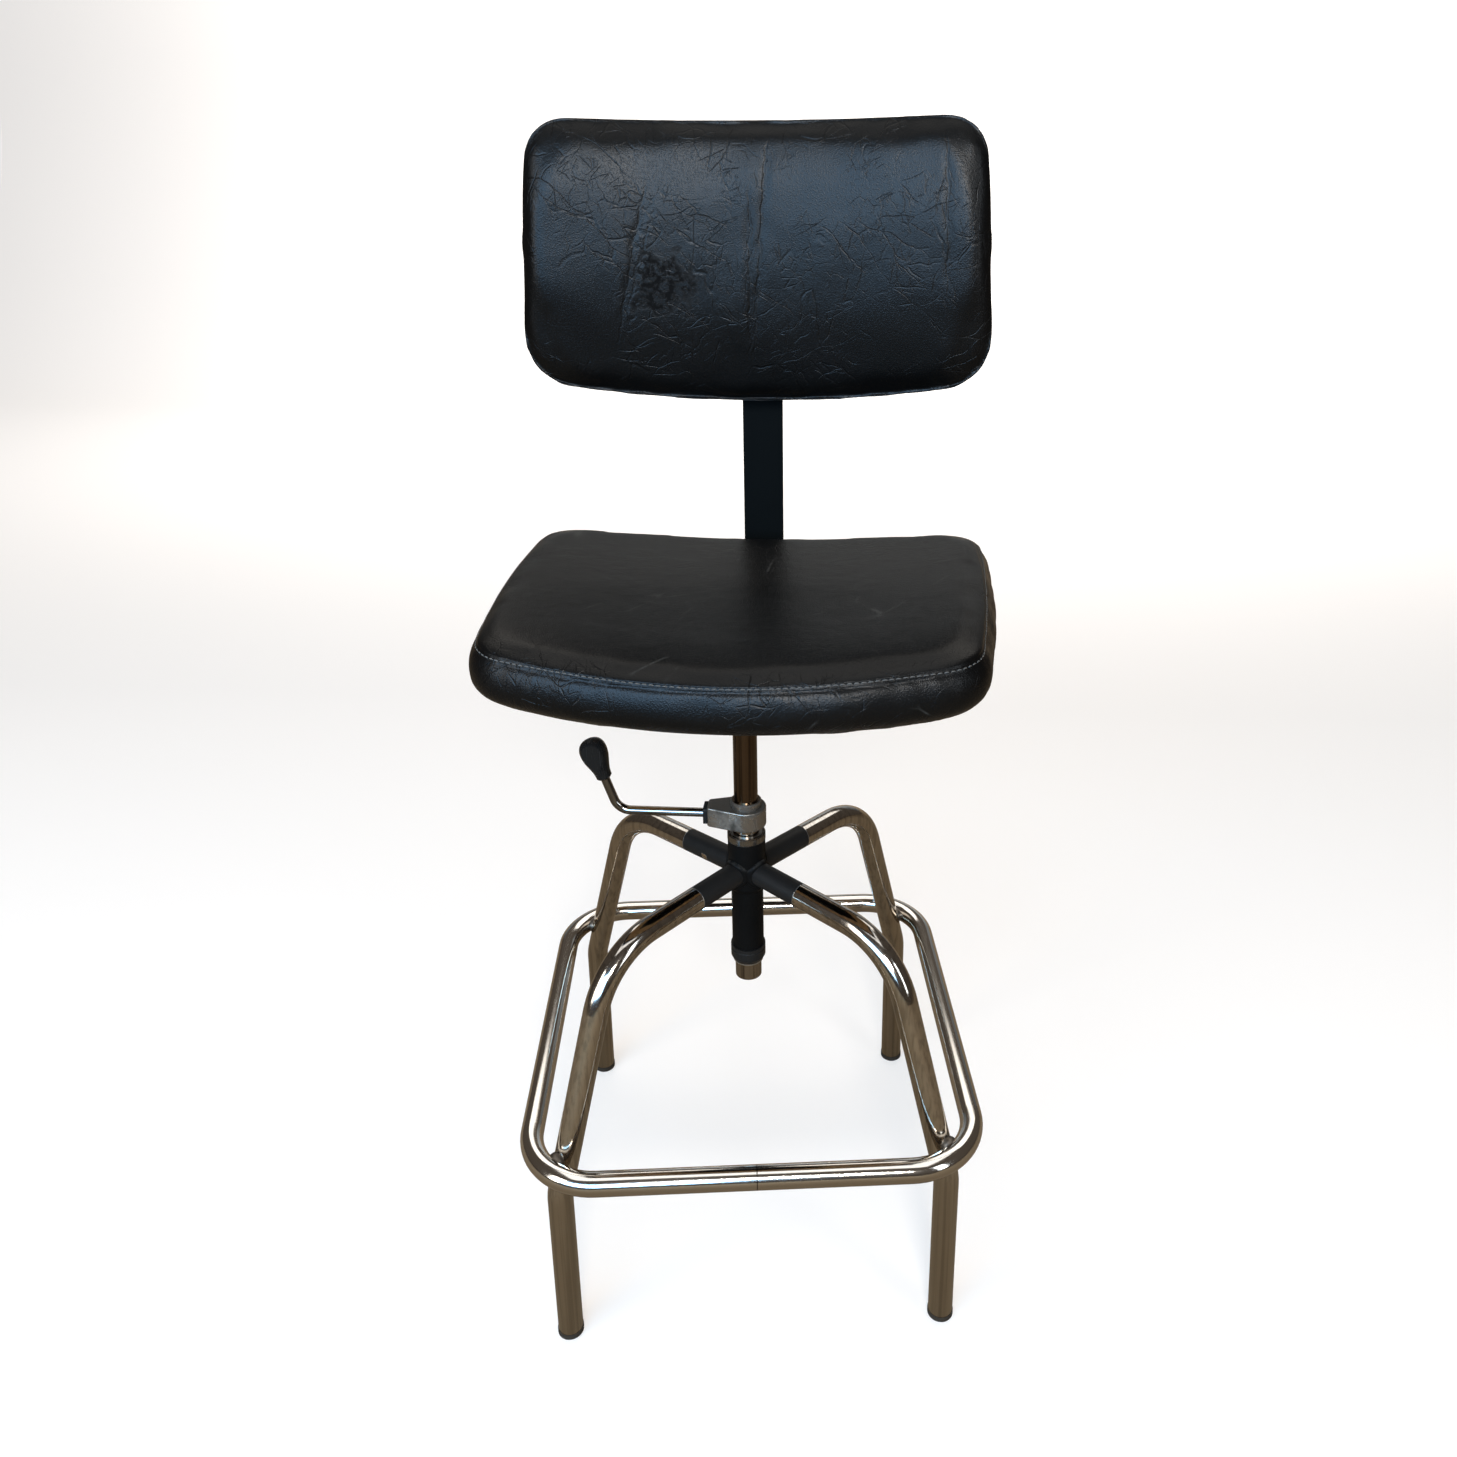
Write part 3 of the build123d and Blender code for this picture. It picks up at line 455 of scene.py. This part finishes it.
def leg_material(name, dark, light, paint_reach):
    """A chromed leg whose root is painted black with the hub, with a chipped edge to the paint."""
    material, tree, shader = new_material(name, Specular_IOR_Level=0.2)
    colour, rough, marks = chrome_nodes(tree, dark, light, 0.3)
    parts = place_parts(tree)
    away_y = minus(tree, parts["Y"], COLUMN_Y)
    square = plus(tree, times(tree, parts["X"], parts["X"]), times(tree, away_y, away_y))
    reach = math_of(tree, "SQRT", square)
    ragged = plus(tree, reach, times(tree, noise(tree, 420.0, 4.0), 0.0016))
    bare = ramp_between(tree, ragged, paint_reach, paint_reach + 0.0006)
    chips = ramp_between(tree, noise(tree, 130.0, 5.0, 0.7), 0.735, 0.745)
    bare = larger(tree, bare, chips)
    away = add_node(tree, "ShaderNodeVectorMath", {0: place(tree), 1: PAINT_CHIP}, operation="DISTANCE")
    away = plus(tree, away.outputs["Value"], times(tree, noise(tree, 190.0, 4.0), 0.006))
    bare = larger(tree, bare, fall_between(tree, away, CHIP_REACH, CHIP_REACH + 0.0006))
    paint = colour_mix(tree, marks["Cloud"], ROOT_DARK, ROOT_LIGHT)
    tree.links.new(colour_mix(tree, bare, paint, colour), shader.inputs["Base Color"])
    tree.links.new(bare, shader.inputs["Metallic"])
    dull = plus(tree, 0.38, times(tree, marks["Cloud"], 0.14))
    tree.links.new(value_mix(tree, bare, dull, rough), shader.inputs["Roughness"])
    set_bump(tree, shader, times(tree, bare, -1.0), 0.00015, 0.6)
    return material


def paint_material(name, dark, light, roughness, chip_level):
    """Black paint on steel with a slight orange skin, dust and a painted sheen on what faces up, and a few
    chips down to bright metal.
    """
    material, tree, shader = new_material(name, Specular_IOR_Level=0.045)
    marks = use_group(tree, WEAR, Speck_Level=chip_level)
    colour = colour_mix(tree, marks["Cloud"], (*dark, 1), (*light, 1))
    # Lighter on what faces up: partly dust, partly painted sheen.
    upward = ramp_between(tree, facing_up(tree), 0.2, 0.95)
    dust_and_sheen = times(tree, upward, ramp_between(tree, noise(tree, 70.0, 4.0), 0.35, 0.75))
    colour = colour_mix(tree, times(tree, dust_and_sheen, 0.6), colour, DUST_AND_SHEEN)
    tree.links.new(colour_mix(tree, marks["Speck"], colour, CHIPPED), shader.inputs["Base Color"])
    rough = plus(tree, roughness, times(tree, marks["Cloud"], 0.16))
    tree.links.new(rough, shader.inputs["Roughness"])
    skin = minus(tree, noise(tree, 520.0, 2.0), times(tree, marks["Speck"], 2.0))
    set_bump(tree, shader, skin, 0.00012, 0.5)
    return material


def plastic_material(name, dark, light, roughness):
    """Moulded plastic, rubber or thread with fine scratches."""
    material, tree, shader = new_material(name, Specular_IOR_Level=0.22)
    marks = use_group(tree, WEAR, Speck_Level=0.9)
    colour = colour_mix(tree, marks["Cloud"], (*dark, 1), (*light, 1))
    tree.links.new(colour, shader.inputs["Base Color"])
    rough = plus(tree, roughness, times(tree, marks["Scratch"], 0.18))
    tree.links.new(plus(tree, rough, times(tree, marks["Cloud"], 0.08)), shader.inputs["Roughness"])
    set_bump(tree, shader, noise(tree, 900.0, 2.0), 0.00006, 0.5)
    return material


def casting_material():
    """A sand casting, darker on what faces up and in patches, lighter elsewhere."""
    material, tree, shader = new_material("clamp_casting")
    skin = use_group(tree, CAST)
    # Darker towards what faces up, besides the dark patches.
    level = times(tree, ramp_between(tree, facing_up(tree), 0.45, 0.9), 0.75)
    soil_and_darker_top = larger(tree, skin["Soil"], level)
    colour = colour_mix(tree, soil_and_darker_top, (0.235, 0.215, 0.19, 1), (0.040, 0.034, 0.026, 1))
    tree.links.new(colour, shader.inputs["Base Color"])
    tree.links.new(minus(tree, 0.9, times(tree, soil_and_darker_top, 0.35)), shader.inputs["Metallic"])
    tree.links.new(plus(tree, 0.25, times(tree, soil_and_darker_top, 0.3)), shader.inputs["Roughness"])
    set_bump(tree, shader, skin["Height"], 0.0003, 0.6)
    return material


def metal_material(name, dark, light, roughness):
    """Plain plated, turned or welded metal."""
    material, tree, shader = new_material(name, Metallic=1.0)
    marks = use_group(tree, WEAR)
    colour = colour_mix(tree, marks["Cloud"], (*dark, 1), (*light, 1))
    tree.links.new(colour, shader.inputs["Base Color"])
    rough = plus(tree, roughness, times(tree, marks["Scratch"], 0.15))
    tree.links.new(plus(tree, rough, times(tree, marks["Speck"], 0.3)), shader.inputs["Roughness"])
    set_bump(tree, shader, marks["Scratch"], 0.00005, 0.4)
    return material


def plywood_material():
    """Moulded beech plywood: long figure on the faces, plies on the edges."""
    material, tree, shader = new_material("seat_plywood")
    spot = place(tree)
    long = add_node(tree, "ShaderNodeMapping", {"Vector": spot, "Scale": (14.0, 1.2, 1.0)}).outputs[0]
    figure = noise(tree, 9.0, 6.0, 0.6, long, 0.6)
    plies = add_node(tree, "ShaderNodeTexWave", {"Vector": spot, "Scale": 95.0, "Distortion": 0.6},
                     bands_direction="Z").outputs["Fac"]
    edge = fall_between(tree, math_of(tree, "ABSOLUTE", facing_up(tree)), 0.3, 0.6)
    colour = colour_mix(tree, figure, (0.42, 0.27, 0.14, 1), (0.60, 0.43, 0.25, 1))
    colour = colour_mix(tree, times(tree, edge, plies), colour, (0.22, 0.12, 0.055, 1))
    tree.links.new(colour, shader.inputs["Base Color"])
    tree.links.new(plus(tree, 0.42, times(tree, figure, 0.2)), shader.inputs["Roughness"])
    set_bump(tree, shader, figure, 0.0002, 0.5)
    return material


# Finishes: name, dark and light colour, and what else the material takes
SEAT_COVER = seat_cover_material()
BACK_COVER = back_cover_material()
SHELL_COVER = shell_cover_material()
# Chrome colours hold painted reflection: the dark one where the surface faces sideways and down, brown as
# from a floor, the light one where it faces up.
LEG_DARK, LEG_LIGHT = (0.42, 0.37, 0.305), (0.62, 0.60, 0.57)
FRONT_LEG = leg_material("front_leg_chrome", LEG_DARK, LEG_LIGHT, 0.0675)
REAR_LEG = leg_material("rear_leg_chrome", LEG_DARK, LEG_LIGHT, 0.0775)
RING = chrome_material("ring_chrome", (0.47, 0.425, 0.365), (0.79, 0.77, 0.735), 0.0, joint=True)
# The column's chrome is far darker than the legs': painted shade under the seat.
COLUMN = chrome_material("column_chrome", (0.098, 0.068, 0.045), (0.20, 0.157, 0.114), 0.9)
SLEEVE = chrome_material("sleeve_chrome", (0.30, 0.265, 0.225), (0.42, 0.385, 0.34), 0.5)
# The lever's chrome is darkened as painted shade, and its lighter top is a painted highlight line.
LEVER_SHADED_CHROME = chrome_material("lever_chrome", (0.14, 0.133, 0.125), (0.60, 0.59, 0.57), 0.0)
HUB_PAINT = paint_material("hub_black", (0.002, 0.002, 0.002), (0.006, 0.0055, 0.005), 0.36, 0.80)
POST_PAINT = paint_material("post_black", (0.0006, 0.0011, 0.0013), (0.0015, 0.0024, 0.0026), 0.5, 0.765)
CASTING = casting_material()
GRIP = plastic_material("grip_black", (0.004, 0.004, 0.004), (0.010, 0.010, 0.010), 0.22)
KNOB = plastic_material("knob_black", (0.006, 0.006, 0.006), (0.014, 0.014, 0.014), 0.38)
COLLAR = plastic_material("collar_black", (0.005, 0.005, 0.005), (0.014, 0.013, 0.012), 0.34)
WASHER = plastic_material("washer_black", (0.002, 0.002, 0.002), (0.006, 0.006, 0.006), 0.6)
GLIDE = plastic_material("glide_rubber", (0.022, 0.017, 0.012), (0.05, 0.040, 0.030), 0.62)
NYLON = plastic_material("bush_nylon", (0.62, 0.60, 0.54), (0.74, 0.72, 0.66), 0.45)
CUP = metal_material("cup_metal", (0.10, 0.095, 0.088), (0.30, 0.285, 0.265), 0.24)
STEEL = metal_material("zinc_steel", (0.36, 0.36, 0.36), (0.50, 0.50, 0.49), 0.32)
WELD = metal_material("weld_metal", (0.10, 0.085, 0.07), (0.24, 0.21, 0.18), 0.42)
BRASS = metal_material("pad_brass", (0.50, 0.36, 0.14), (0.64, 0.48, 0.22), 0.28)
PLYWOOD = plywood_material()

finishes = {
    "hub_tube": HUB_PAINT, "leg_rear_right": REAR_LEG, "leg_rear_left": REAR_LEG,
    "leg_front_left": FRONT_LEG, "leg_front_right": FRONT_LEG, "foot_ring": RING, "ring_welds": WELD,
    "glides": GLIDE, "lower_bush": COLLAR, "hub_collar": COLLAR, "upper_bush": NYLON, "bearing_cup": CUP,
    "thrust_washer": NYLON, "thrust_race": STEEL, "guide_sleeve": SLEEVE, "sleeve_shoulder": STEEL,
    "retaining_clip": STEEL, "clamp_body": CASTING, "clamp_washer": WASHER, "pressure_pad": BRASS,
    "lever_rod": LEVER_SHADED_CHROME, "lever_grip": GRIP, "column_tube": COLUMN, "column_plug": COLLAR,
    "seat_socket": POST_PAINT, "seat_plate": POST_PAINT, "seat_pan": PLYWOOD, "seat_bolts": STEEL,
    "post_channel": POST_PAINT, "channel_nut": STEEL, "depth_screw": STEEL, "depth_knob": KNOB,
    "back_post": POST_PAINT, "back_carriage": POST_PAINT, "carriage_nut": STEEL, "tilt_pin": STEEL,
    "height_screw": STEEL, "height_knob": KNOB, "back_shell": SHELL_COVER, "back_bracket": POST_PAINT,
    "back_screws": STEEL,
}
for node, material in finishes.items():
    for slot in nodes[node].material_slots:
        slot.material = material


# Weld beads where the arms of the legs meet the hub: radii of the hub, of an arm and of the bead
HUB_R, ARM_R, BEAD_R = 0.0175, 0.011, 0.0030
CORNERS = ("rear_right", "rear_left", "front_left", "front_right")


def weld_bead():
    """A bead round an arm along +x, bent so that it runs where the arm's tube meets the hub's."""
    deselect_all()
    bpy.ops.mesh.primitive_torus_add(major_radius=ARM_R, minor_radius=BEAD_R, major_segments=64,
                                     minor_segments=12, rotation=(0, math.pi / 2, 0))
    bead = bpy.context.object
    bpy.ops.object.transform_apply(rotation=True)
    for vertex in bead.data.vertices:
        vertex.co.x += math.sqrt(HUB_R ** 2 - vertex.co.y ** 2)
    bpy.ops.object.shade_smooth()
    bead.data.materials.append(HUB_PAINT)
    return bead


# The bead is modelled once, and each copy has its own mesh.
model = weld_bead()
arm_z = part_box("leg_front_left")[1][2] - ARM_R
for i, corner in enumerate(CORNERS):
    bead = model.copy()
    bead.data = model.data.copy()
    bead.name = bead.data.name = "hub_bead_" + corner
    bpy.context.scene.collection.objects.link(bead)
    turned = Matrix.Rotation(BASE_TURN + math.radians(45 + 90 * i), 4, "Z")
    bead.data.transform(Matrix.Translation((0, COLUMN_Y, arm_z)) @ turned)
    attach(bead, "base")
bpy.data.objects.remove(model)


# Cushions


def surface_of(obj):
    mesh = obj.data
    return BVHTree.FromPolygons([v.co for v in mesh.vertices], [p.vertices for p in mesh.polygons])


def foam_from(node, name):
    """A closed, evenly meshed copy of a CAD cushion, drawn in a little so that it can swell back."""
    foam = nodes[node].copy()
    foam.data = nodes[node].data.copy()
    foam.name = foam.data.name = name
    foam.parent = None
    foam.matrix_world = Matrix.Identity(4)
    bpy.context.scene.collection.objects.link(foam)
    make_active(foam)
    bpy.ops.object.mode_set(mode="EDIT")
    bpy.ops.mesh.select_all(action="SELECT")
    bpy.ops.mesh.remove_doubles(threshold=MERGE_GAP)
    bpy.ops.mesh.normals_make_consistent(inside=False)
    bpy.ops.object.mode_set(mode="OBJECT")
    skin = surface_of(foam)
    remesh = foam.modifiers.new("even_mesh", "REMESH")
    remesh.mode = "VOXEL"
    remesh.voxel_size = VOXEL
    bpy.ops.object.modifier_apply(modifier=remesh.name)
    for vertex in foam.data.vertices:
        vertex.co = skin.find_nearest(vertex.co)[0]
    for vertex, normal in [(v, v.normal.copy()) for v in foam.data.vertices]:
        vertex.co -= normal * SHRINK
    return foam


def let_out(foam, reach):
    """Stretches the foam by reach at each end of x, y and z, as relaxing takes as much off its rim."""
    spots = [v.co.copy() for v in foam.data.vertices]
    for axis in range(3):
        low, high = min(p[axis] for p in spots), max(p[axis] for p in spots)
        middle, half = (low + high) / 2, (high - low) / 2
        for vertex in foam.data.vertices:
            vertex.co[axis] = middle + (vertex.co[axis] - middle) * (half + reach[axis]) / half


def swell(foam):
    """Blows the cover up as foam does: each point goes straight outward, within limits, and none sinks in."""
    start = [(v.co.copy(), v.normal.copy()) for v in foam.data.vertices]
    make_active(foam)
    cloth = foam.modifiers.new("cover", "CLOTH")
    cloth.settings.use_pressure = True
    cloth.settings.uniform_pressure_force = PRESSURE
    cloth.settings.effector_weights.gravity = 0.0
    cloth.settings.tension_stiffness = STIFFNESS
    cloth.settings.compression_stiffness = STIFFNESS
    for step in range(1, CLOTH_STEPS + 1):
        bpy.context.scene.frame_set(step)
    bpy.ops.object.modifier_apply(modifier=cloth.name)
    bpy.context.scene.frame_set(1)
    for vertex, (before, normal) in zip(foam.data.vertices, start):
        rise = (vertex.co - before).dot(normal)
        vertex.co = before + normal * min(max(rise, 0.0), LARGEST_RISE)


def relax(foam, repeat):
    """Lets the corners and edges of the foam run round."""
    make_active(foam)
    soft = foam.modifiers.new("relax", "SMOOTH")
    soft.factor = 0.5
    soft.iterations = repeat
    bpy.ops.object.modifier_apply(modifier=soft.name)


def refine(foam):
    make_active(foam)
    finer = foam.modifiers.new("finer", "SUBSURF")
    finer.levels = finer.render_levels = 1
    bpy.ops.object.modifier_apply(modifier=finer.name)
    bpy.ops.object.shade_smooth()


def set_finish(obj, material):
    obj.data.materials.clear()
    obj.data.materials.append(material)


# Seat: swollen foam, a seam all round below its top edge, and the stitches along it. The seam's points are
# looked for from outside, LOOK_FROM away from the middle.
SEAT_MID = Vector((0.0, COLUMN_Y, 0.0))
SEAM_STEPS = 720
LOOK_FROM, SEAT_HALF = 0.5, 0.21


def seam_height(x):
    """The seam rises a little with the saddle towards the sides."""
    return SEAM_Z + SEAM_RISE * x ** 2


def seam_points(surface):
    """Points on the cover along the seam, found from outside."""
    points = []
    for i in range(SEAM_STEPS):
        angle = 2 * math.pi * i / SEAM_STEPS
        out = Vector((math.cos(angle), math.sin(angle), 0))
        origin = SEAT_MID + out * LOOK_FROM
        origin.z = seam_height(out.x * SEAT_HALF)
        points.append(surface.ray_cast(origin, -out)[0])
    return points


seat = foam_from("seat_cushion", "seat_cover")
let_out(seat, SEAT_REACH)
front_edge = {}
for vertex in seat.data.vertices:
    strip = round(vertex.co.x / EDGE_STRIP)
    front_edge[strip] = min(front_edge.get(strip, vertex.co.y), vertex.co.y)
for vertex in seat.data.vertices:
    over = vertex.co.z - seam_height(vertex.co.x)
    behind = vertex.co.y - front_edge[round(vertex.co.x / EDGE_STRIP)]
    if over > 0:
        vertex.co.z -= SEAT_FALL * over * max(1 - behind / SEAT_FALL_REACH, 0.0) ** 2
relax(seat, 6)
swell(seat)
relax(seat, 6)
refine(seat)
seat_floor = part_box("seat_cushion")[0][2]
outward = [v.normal.copy() for v in seat.data.vertices]
for vertex, normal in zip(seat.data.vertices, outward):
    vertex.co.z = max(vertex.co.z, seat_floor + vertex.co.x ** 2 / (2 * SADDLE_R))
    over = vertex.co.z - seam_height(vertex.co.x)
    tuck = math.exp(-(over / (TUCK_ABOVE if over > 0 else TUCK_BELOW)) ** 2)
    groove = math.exp(-(over / GROOVE_HALF) ** 2)
    sideways = min(max((LEVEL_NORMAL - normal.z) / TO_FULL, 0.0), 1.0)
    folds = random_height([at * waves for at, waves in zip(vertex.co, FOLD_WAVES)])
    folds = BAND_FOLD * folds * math.exp(-((over + BAND_DOWN) / BAND_DOWN) ** 2)
    vertex.co -= normal * sideways * (SEAM_TUCK * tuck + SEAM_GROOVE * groove + folds)
set_finish(seat, SEAT_COVER)
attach(seat, "seat")
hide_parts("seat_cushion")


def thread_line(name, points):
    """A closed curve through points on the surface."""
    data = bpy.data.curves.new(name, "CURVE")
    data.dimensions = "3D"
    spline = data.splines.new("POLY")
    spline.points.add(len(points) - 1)
    for slot, point in zip(spline.points, points):
        slot.co = (*point, 1)
    spline.use_cyclic_u = True
    line = bpy.data.objects.new(name, data)
    bpy.context.scene.collection.objects.link(line)
    return line


def stitch_row(name, points):
    """One stitch, modelled once with both its ends dipping into the cover, repeated along a seam."""
    line = thread_line(name + "_line", points)
    run = sum((b - a).length for a, b in zip(points, points[1:] + points[:1]))
    deselect_all()
    bpy.ops.mesh.primitive_cylinder_add(vertices=8, radius=STITCH_THICK / 2, depth=STITCH_LENGTH * 0.6,
                                        rotation=(0, math.pi / 2, 0))
    stitch = bpy.context.object
    stitch.name = stitch.data.name = name
    bpy.ops.object.transform_apply(rotation=True)
    bpy.ops.object.mode_set(mode="EDIT")
    for end in (-1, 1):
        bpy.ops.mesh.select_all(action="DESELECT")
        bpy.ops.object.mode_set(mode="OBJECT")
        for face in stitch.data.polygons:
            face.select = face.normal.x * end > 0.9
        bpy.ops.object.mode_set(mode="EDIT")
        bpy.ops.mesh.select_mode(type="FACE")
        dip = (end * STITCH_LENGTH * 0.2, 0, -STITCH_THICK * 0.5)
        bpy.ops.mesh.extrude_region_move(TRANSFORM_OT_translate={"value": dip})
        bpy.ops.transform.resize(value=(0.5, 0.5, 0.5))
    bpy.ops.object.mode_set(mode="OBJECT")
    row = stitch.modifiers.new("row", "ARRAY")
    row.use_relative_offset = False
    row.use_constant_offset = True
    row.constant_offset_displace = (STITCH_PITCH, 0, 0)
    row.count = int(run / STITCH_PITCH)
    follow = stitch.modifiers.new("follow", "CURVE")
    follow.object = line
    for modifier in (row, follow):
        bpy.ops.object.modifier_apply(modifier=modifier.name)
    bpy.ops.object.shade_smooth()
    bpy.data.objects.remove(line)
    return stitch


# The thread's grey is lightened to carry a painted glint along the seam: partly its own colour, partly
# painted highlight.
THREAD_WITH_GLINT = plastic_material("seam_thread", (0.062, 0.060, 0.056), (0.105, 0.10, 0.093), 0.6)
stitches = stitch_row("seat_stitches", seam_points(surface_of(seat)))
set_finish(stitches, THREAD_WITH_GLINT)
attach(stitches, "seat")

# Backrest: swollen foam, hollow towards the sitter, whose front falls away to its edges, most of all below
back = foam_from("back_cushion", "back_cover")
back_low, back_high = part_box("back_cushion")
back_mid = (back_low + back_high) / 2
facing = [v.normal.y for v in back.data.vertices]
for vertex, front in zip(back.data.vertices, facing):
    up = (vertex.co.z - back_mid.z) / (back_high.z - back_mid.z)
    bulge = BACK_BULGE * math.exp(-((up - BULGE_AT) / BULGE_REACH) ** 2)
    vertex.co.x *= 1 - BACK_TAPER * up + bulge
    if front < FOAM_FRONT:
        side = abs(vertex.co.x) / back_high.x
        vertex.co.y += BACK_FALL_TOP * up ** 3 if up > 0 else BACK_FALL_LOW * up ** 2
        vertex.co.y += BACK_FALL_SIDE * side ** 5
let_out(back, BACK_REACH)
relax(back, 6)
swell(back)
relax(back, 8)
refine(back)
outward = [v.normal.copy() for v in back.data.vertices]
for vertex, normal in zip(back.data.vertices, outward):
    if normal.y < COVER_FRONT:
        x, z = vertex.co.x, vertex.co.z
        depth = BACK_WAVE * random_height((x * WAVES, 0, z * WAVES))
        for at, lean, low, high in BACK_CREASES:
            sway = CREASE_SWAY * random_height((0, at * SWAY_APART, z * SWAY_WAVES))
            off = x - at - lean * (z - BACK_MID_Z) - sway
            ends = min(max((z - low) / CREASE_FADE, 0.0), max((high - z) / CREASE_FADE, 0.0), 1.0)
            depth += BACK_CREASE * ends * math.exp(-(off / CREASE_HALF) ** 2)
        vertex.co -= normal * depth
set_finish(back, BACK_COVER)
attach(back, "backrest")
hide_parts("back_cushion")


# Studio: a floor that sweeps up into a wall, as the eye sees it and as the chair mirrors it
FLOOR_SIZE, FLOOR_Y, REAR_EDGE = 9.0, 1.0, 4.0
WALL_HEIGHT, SWEEP_R = 2.6, 1.5
BROWN_FLOOR, GREY_WALL = (0.25, 0.185, 0.12, 1), (0.15, 0.155, 0.155, 1)


def floor_material():
    """Pale to the eye; the chair itself is lit and mirrored as on a brown floor in front of a grey wall."""
    material, tree, shader = new_material("studio_floor", Roughness=0.9, Specular_IOR_Level=0.0,
                                          Emission_Strength=1.0)
    pale = colour_mix(tree, noise(tree, 0.7, 2.0), (0.53, 0.49, 0.455, 1), (0.55, 0.51, 0.475, 1))
    seen = tree.nodes.new("ShaderNodeLightPath").outputs["Is Camera Ray"]
    height = place_parts(tree)["Z"]
    room = colour_mix(tree, ramp_between(tree, height, 0.1, 0.7), BROWN_FLOOR, GREY_WALL)
    tree.links.new(colour_mix(tree, seen, room, pale), shader.inputs["Base Color"])
    glow = colour_mix(tree, seen, (0, 0, 0, 1), (0.50, 0.50, 0.50, 1))
    tree.links.new(glow, shader.inputs["Emission Color"])
    return material


deselect_all()
bpy.ops.mesh.primitive_plane_add(size=FLOOR_SIZE, location=(0, FLOOR_Y, 0))
floor = bpy.context.object
floor.name = "studio_floor"
bpy.ops.object.mode_set(mode="EDIT")
bpy.ops.mesh.select_all(action="DESELECT")
bpy.ops.object.mode_set(mode="OBJECT")
for edge in floor.data.edges:
    edge.select = all(floor.data.vertices[i].co.y > REAR_EDGE for i in edge.vertices)
bpy.ops.object.mode_set(mode="EDIT")
bpy.ops.mesh.select_mode(type="EDGE")
bpy.ops.mesh.extrude_region_move(TRANSFORM_OT_translate={"value": (0, 0, WALL_HEIGHT)})
bpy.ops.object.mode_set(mode="OBJECT")
for edge in floor.data.edges:
    ends = [floor.data.vertices[i].co for i in edge.vertices]
    edge.select = all(end.y > REAR_EDGE and end.z < WALL_HEIGHT / 2 for end in ends)
bpy.ops.object.mode_set(mode="EDIT")
bpy.ops.mesh.bevel(offset=SWEEP_R, segments=12, affect="EDGES")
bpy.ops.object.mode_set(mode="OBJECT")
bpy.ops.object.shade_smooth()
bpy.ops.object.transform_apply(location=True)
set_finish(floor, floor_material())


def softbox(name, place_at, aim, width, height, power, colour):
    """A rectangular light of some watts, turned to its aim."""
    data = bpy.data.lights.new(name, "AREA")
    data.shape = "RECTANGLE"
    data.size, data.size_y = width, height
    data.energy = power
    data.color = colour
    lamp = bpy.data.objects.new(name, data)
    bpy.context.scene.collection.objects.link(lamp)
    lamp.location = place_at
    lamp.rotation_euler = (Vector(aim) - Vector(place_at)).to_track_quat("-Z", "Y").to_euler()


WARM = (1.0, 0.95, 0.88)
softbox("overhead", (0.0, 0.0, 3.4), (0, 0.0, 0), 3.0, 2.6, 34.0, (1.0, 0.98, 0.95))
softbox("rear_ceiling", (0.0, 2.0, 2.9), (0, 0, 0.3), 4.0, 1.4, 30.0, WARM)
softbox("front_window", (-0.85, -2.6, 1.45), (0, 0, 0.95), 2.4, 1.3, 108.0, (0.36, 0.65, 1.0))
softbox("high_window", (0.4, -2.4, 1.75), (0, 0, 0.95), 0.5, 0.5, 44.0, WARM)
softbox("left_window", (-2.0, -1.7, 1.4), (0, 0, 0.6), 0.7, 1.7, 22.0, WARM)
softbox("right_window", (2.0, -1.6, 1.3), (0, 0, 0.6), 0.5, 1.6, 14.0, (0.86, 0.93, 1.0))
softbox("backdrop_light", (0.0, 3.0, 2.7), (0, 5.6, 0.9), 4.0, 0.6, 260.0, (1, 1, 1))
world = bpy.data.worlds.new("studio")
world.use_nodes = True
sky = world.node_tree
shown = sky.nodes.new("ShaderNodeLightPath").outputs["Is Camera Ray"]
sky.links.new(colour_mix(sky, shown, (0.075, 0.060, 0.047, 1), (0.84, 0.83, 0.82, 1)),
              sky.nodes["Background"].inputs["Color"])
bpy.context.scene.world = world
bpy.context.scene.view_settings.view_transform = "Standard"

# Camera, as the photograph was taken; the shift keeps the chair where it stands in that frame
camera_data = bpy.data.cameras.new("camera")
camera_data.sensor_width = 36.0
camera_data.lens = 29.724
camera_data.shift_x = -0.0356
camera_data.shift_y = -0.1106
camera = bpy.data.objects.new("camera", camera_data)
bpy.context.scene.collection.objects.link(camera)
right = Vector((0.99731, 0.07305, -0.00574))
forward = Vector((-0.07107, 0.94516, -0.31878))
up = right.cross(forward)
turn = Matrix((right, up, -forward)).transposed()
camera.matrix_world = Matrix.Translation((0.10639, -0.97477 + COLUMN_Y, 0.99175)) @ turn.to_4x4()
bpy.context.scene.camera = camera
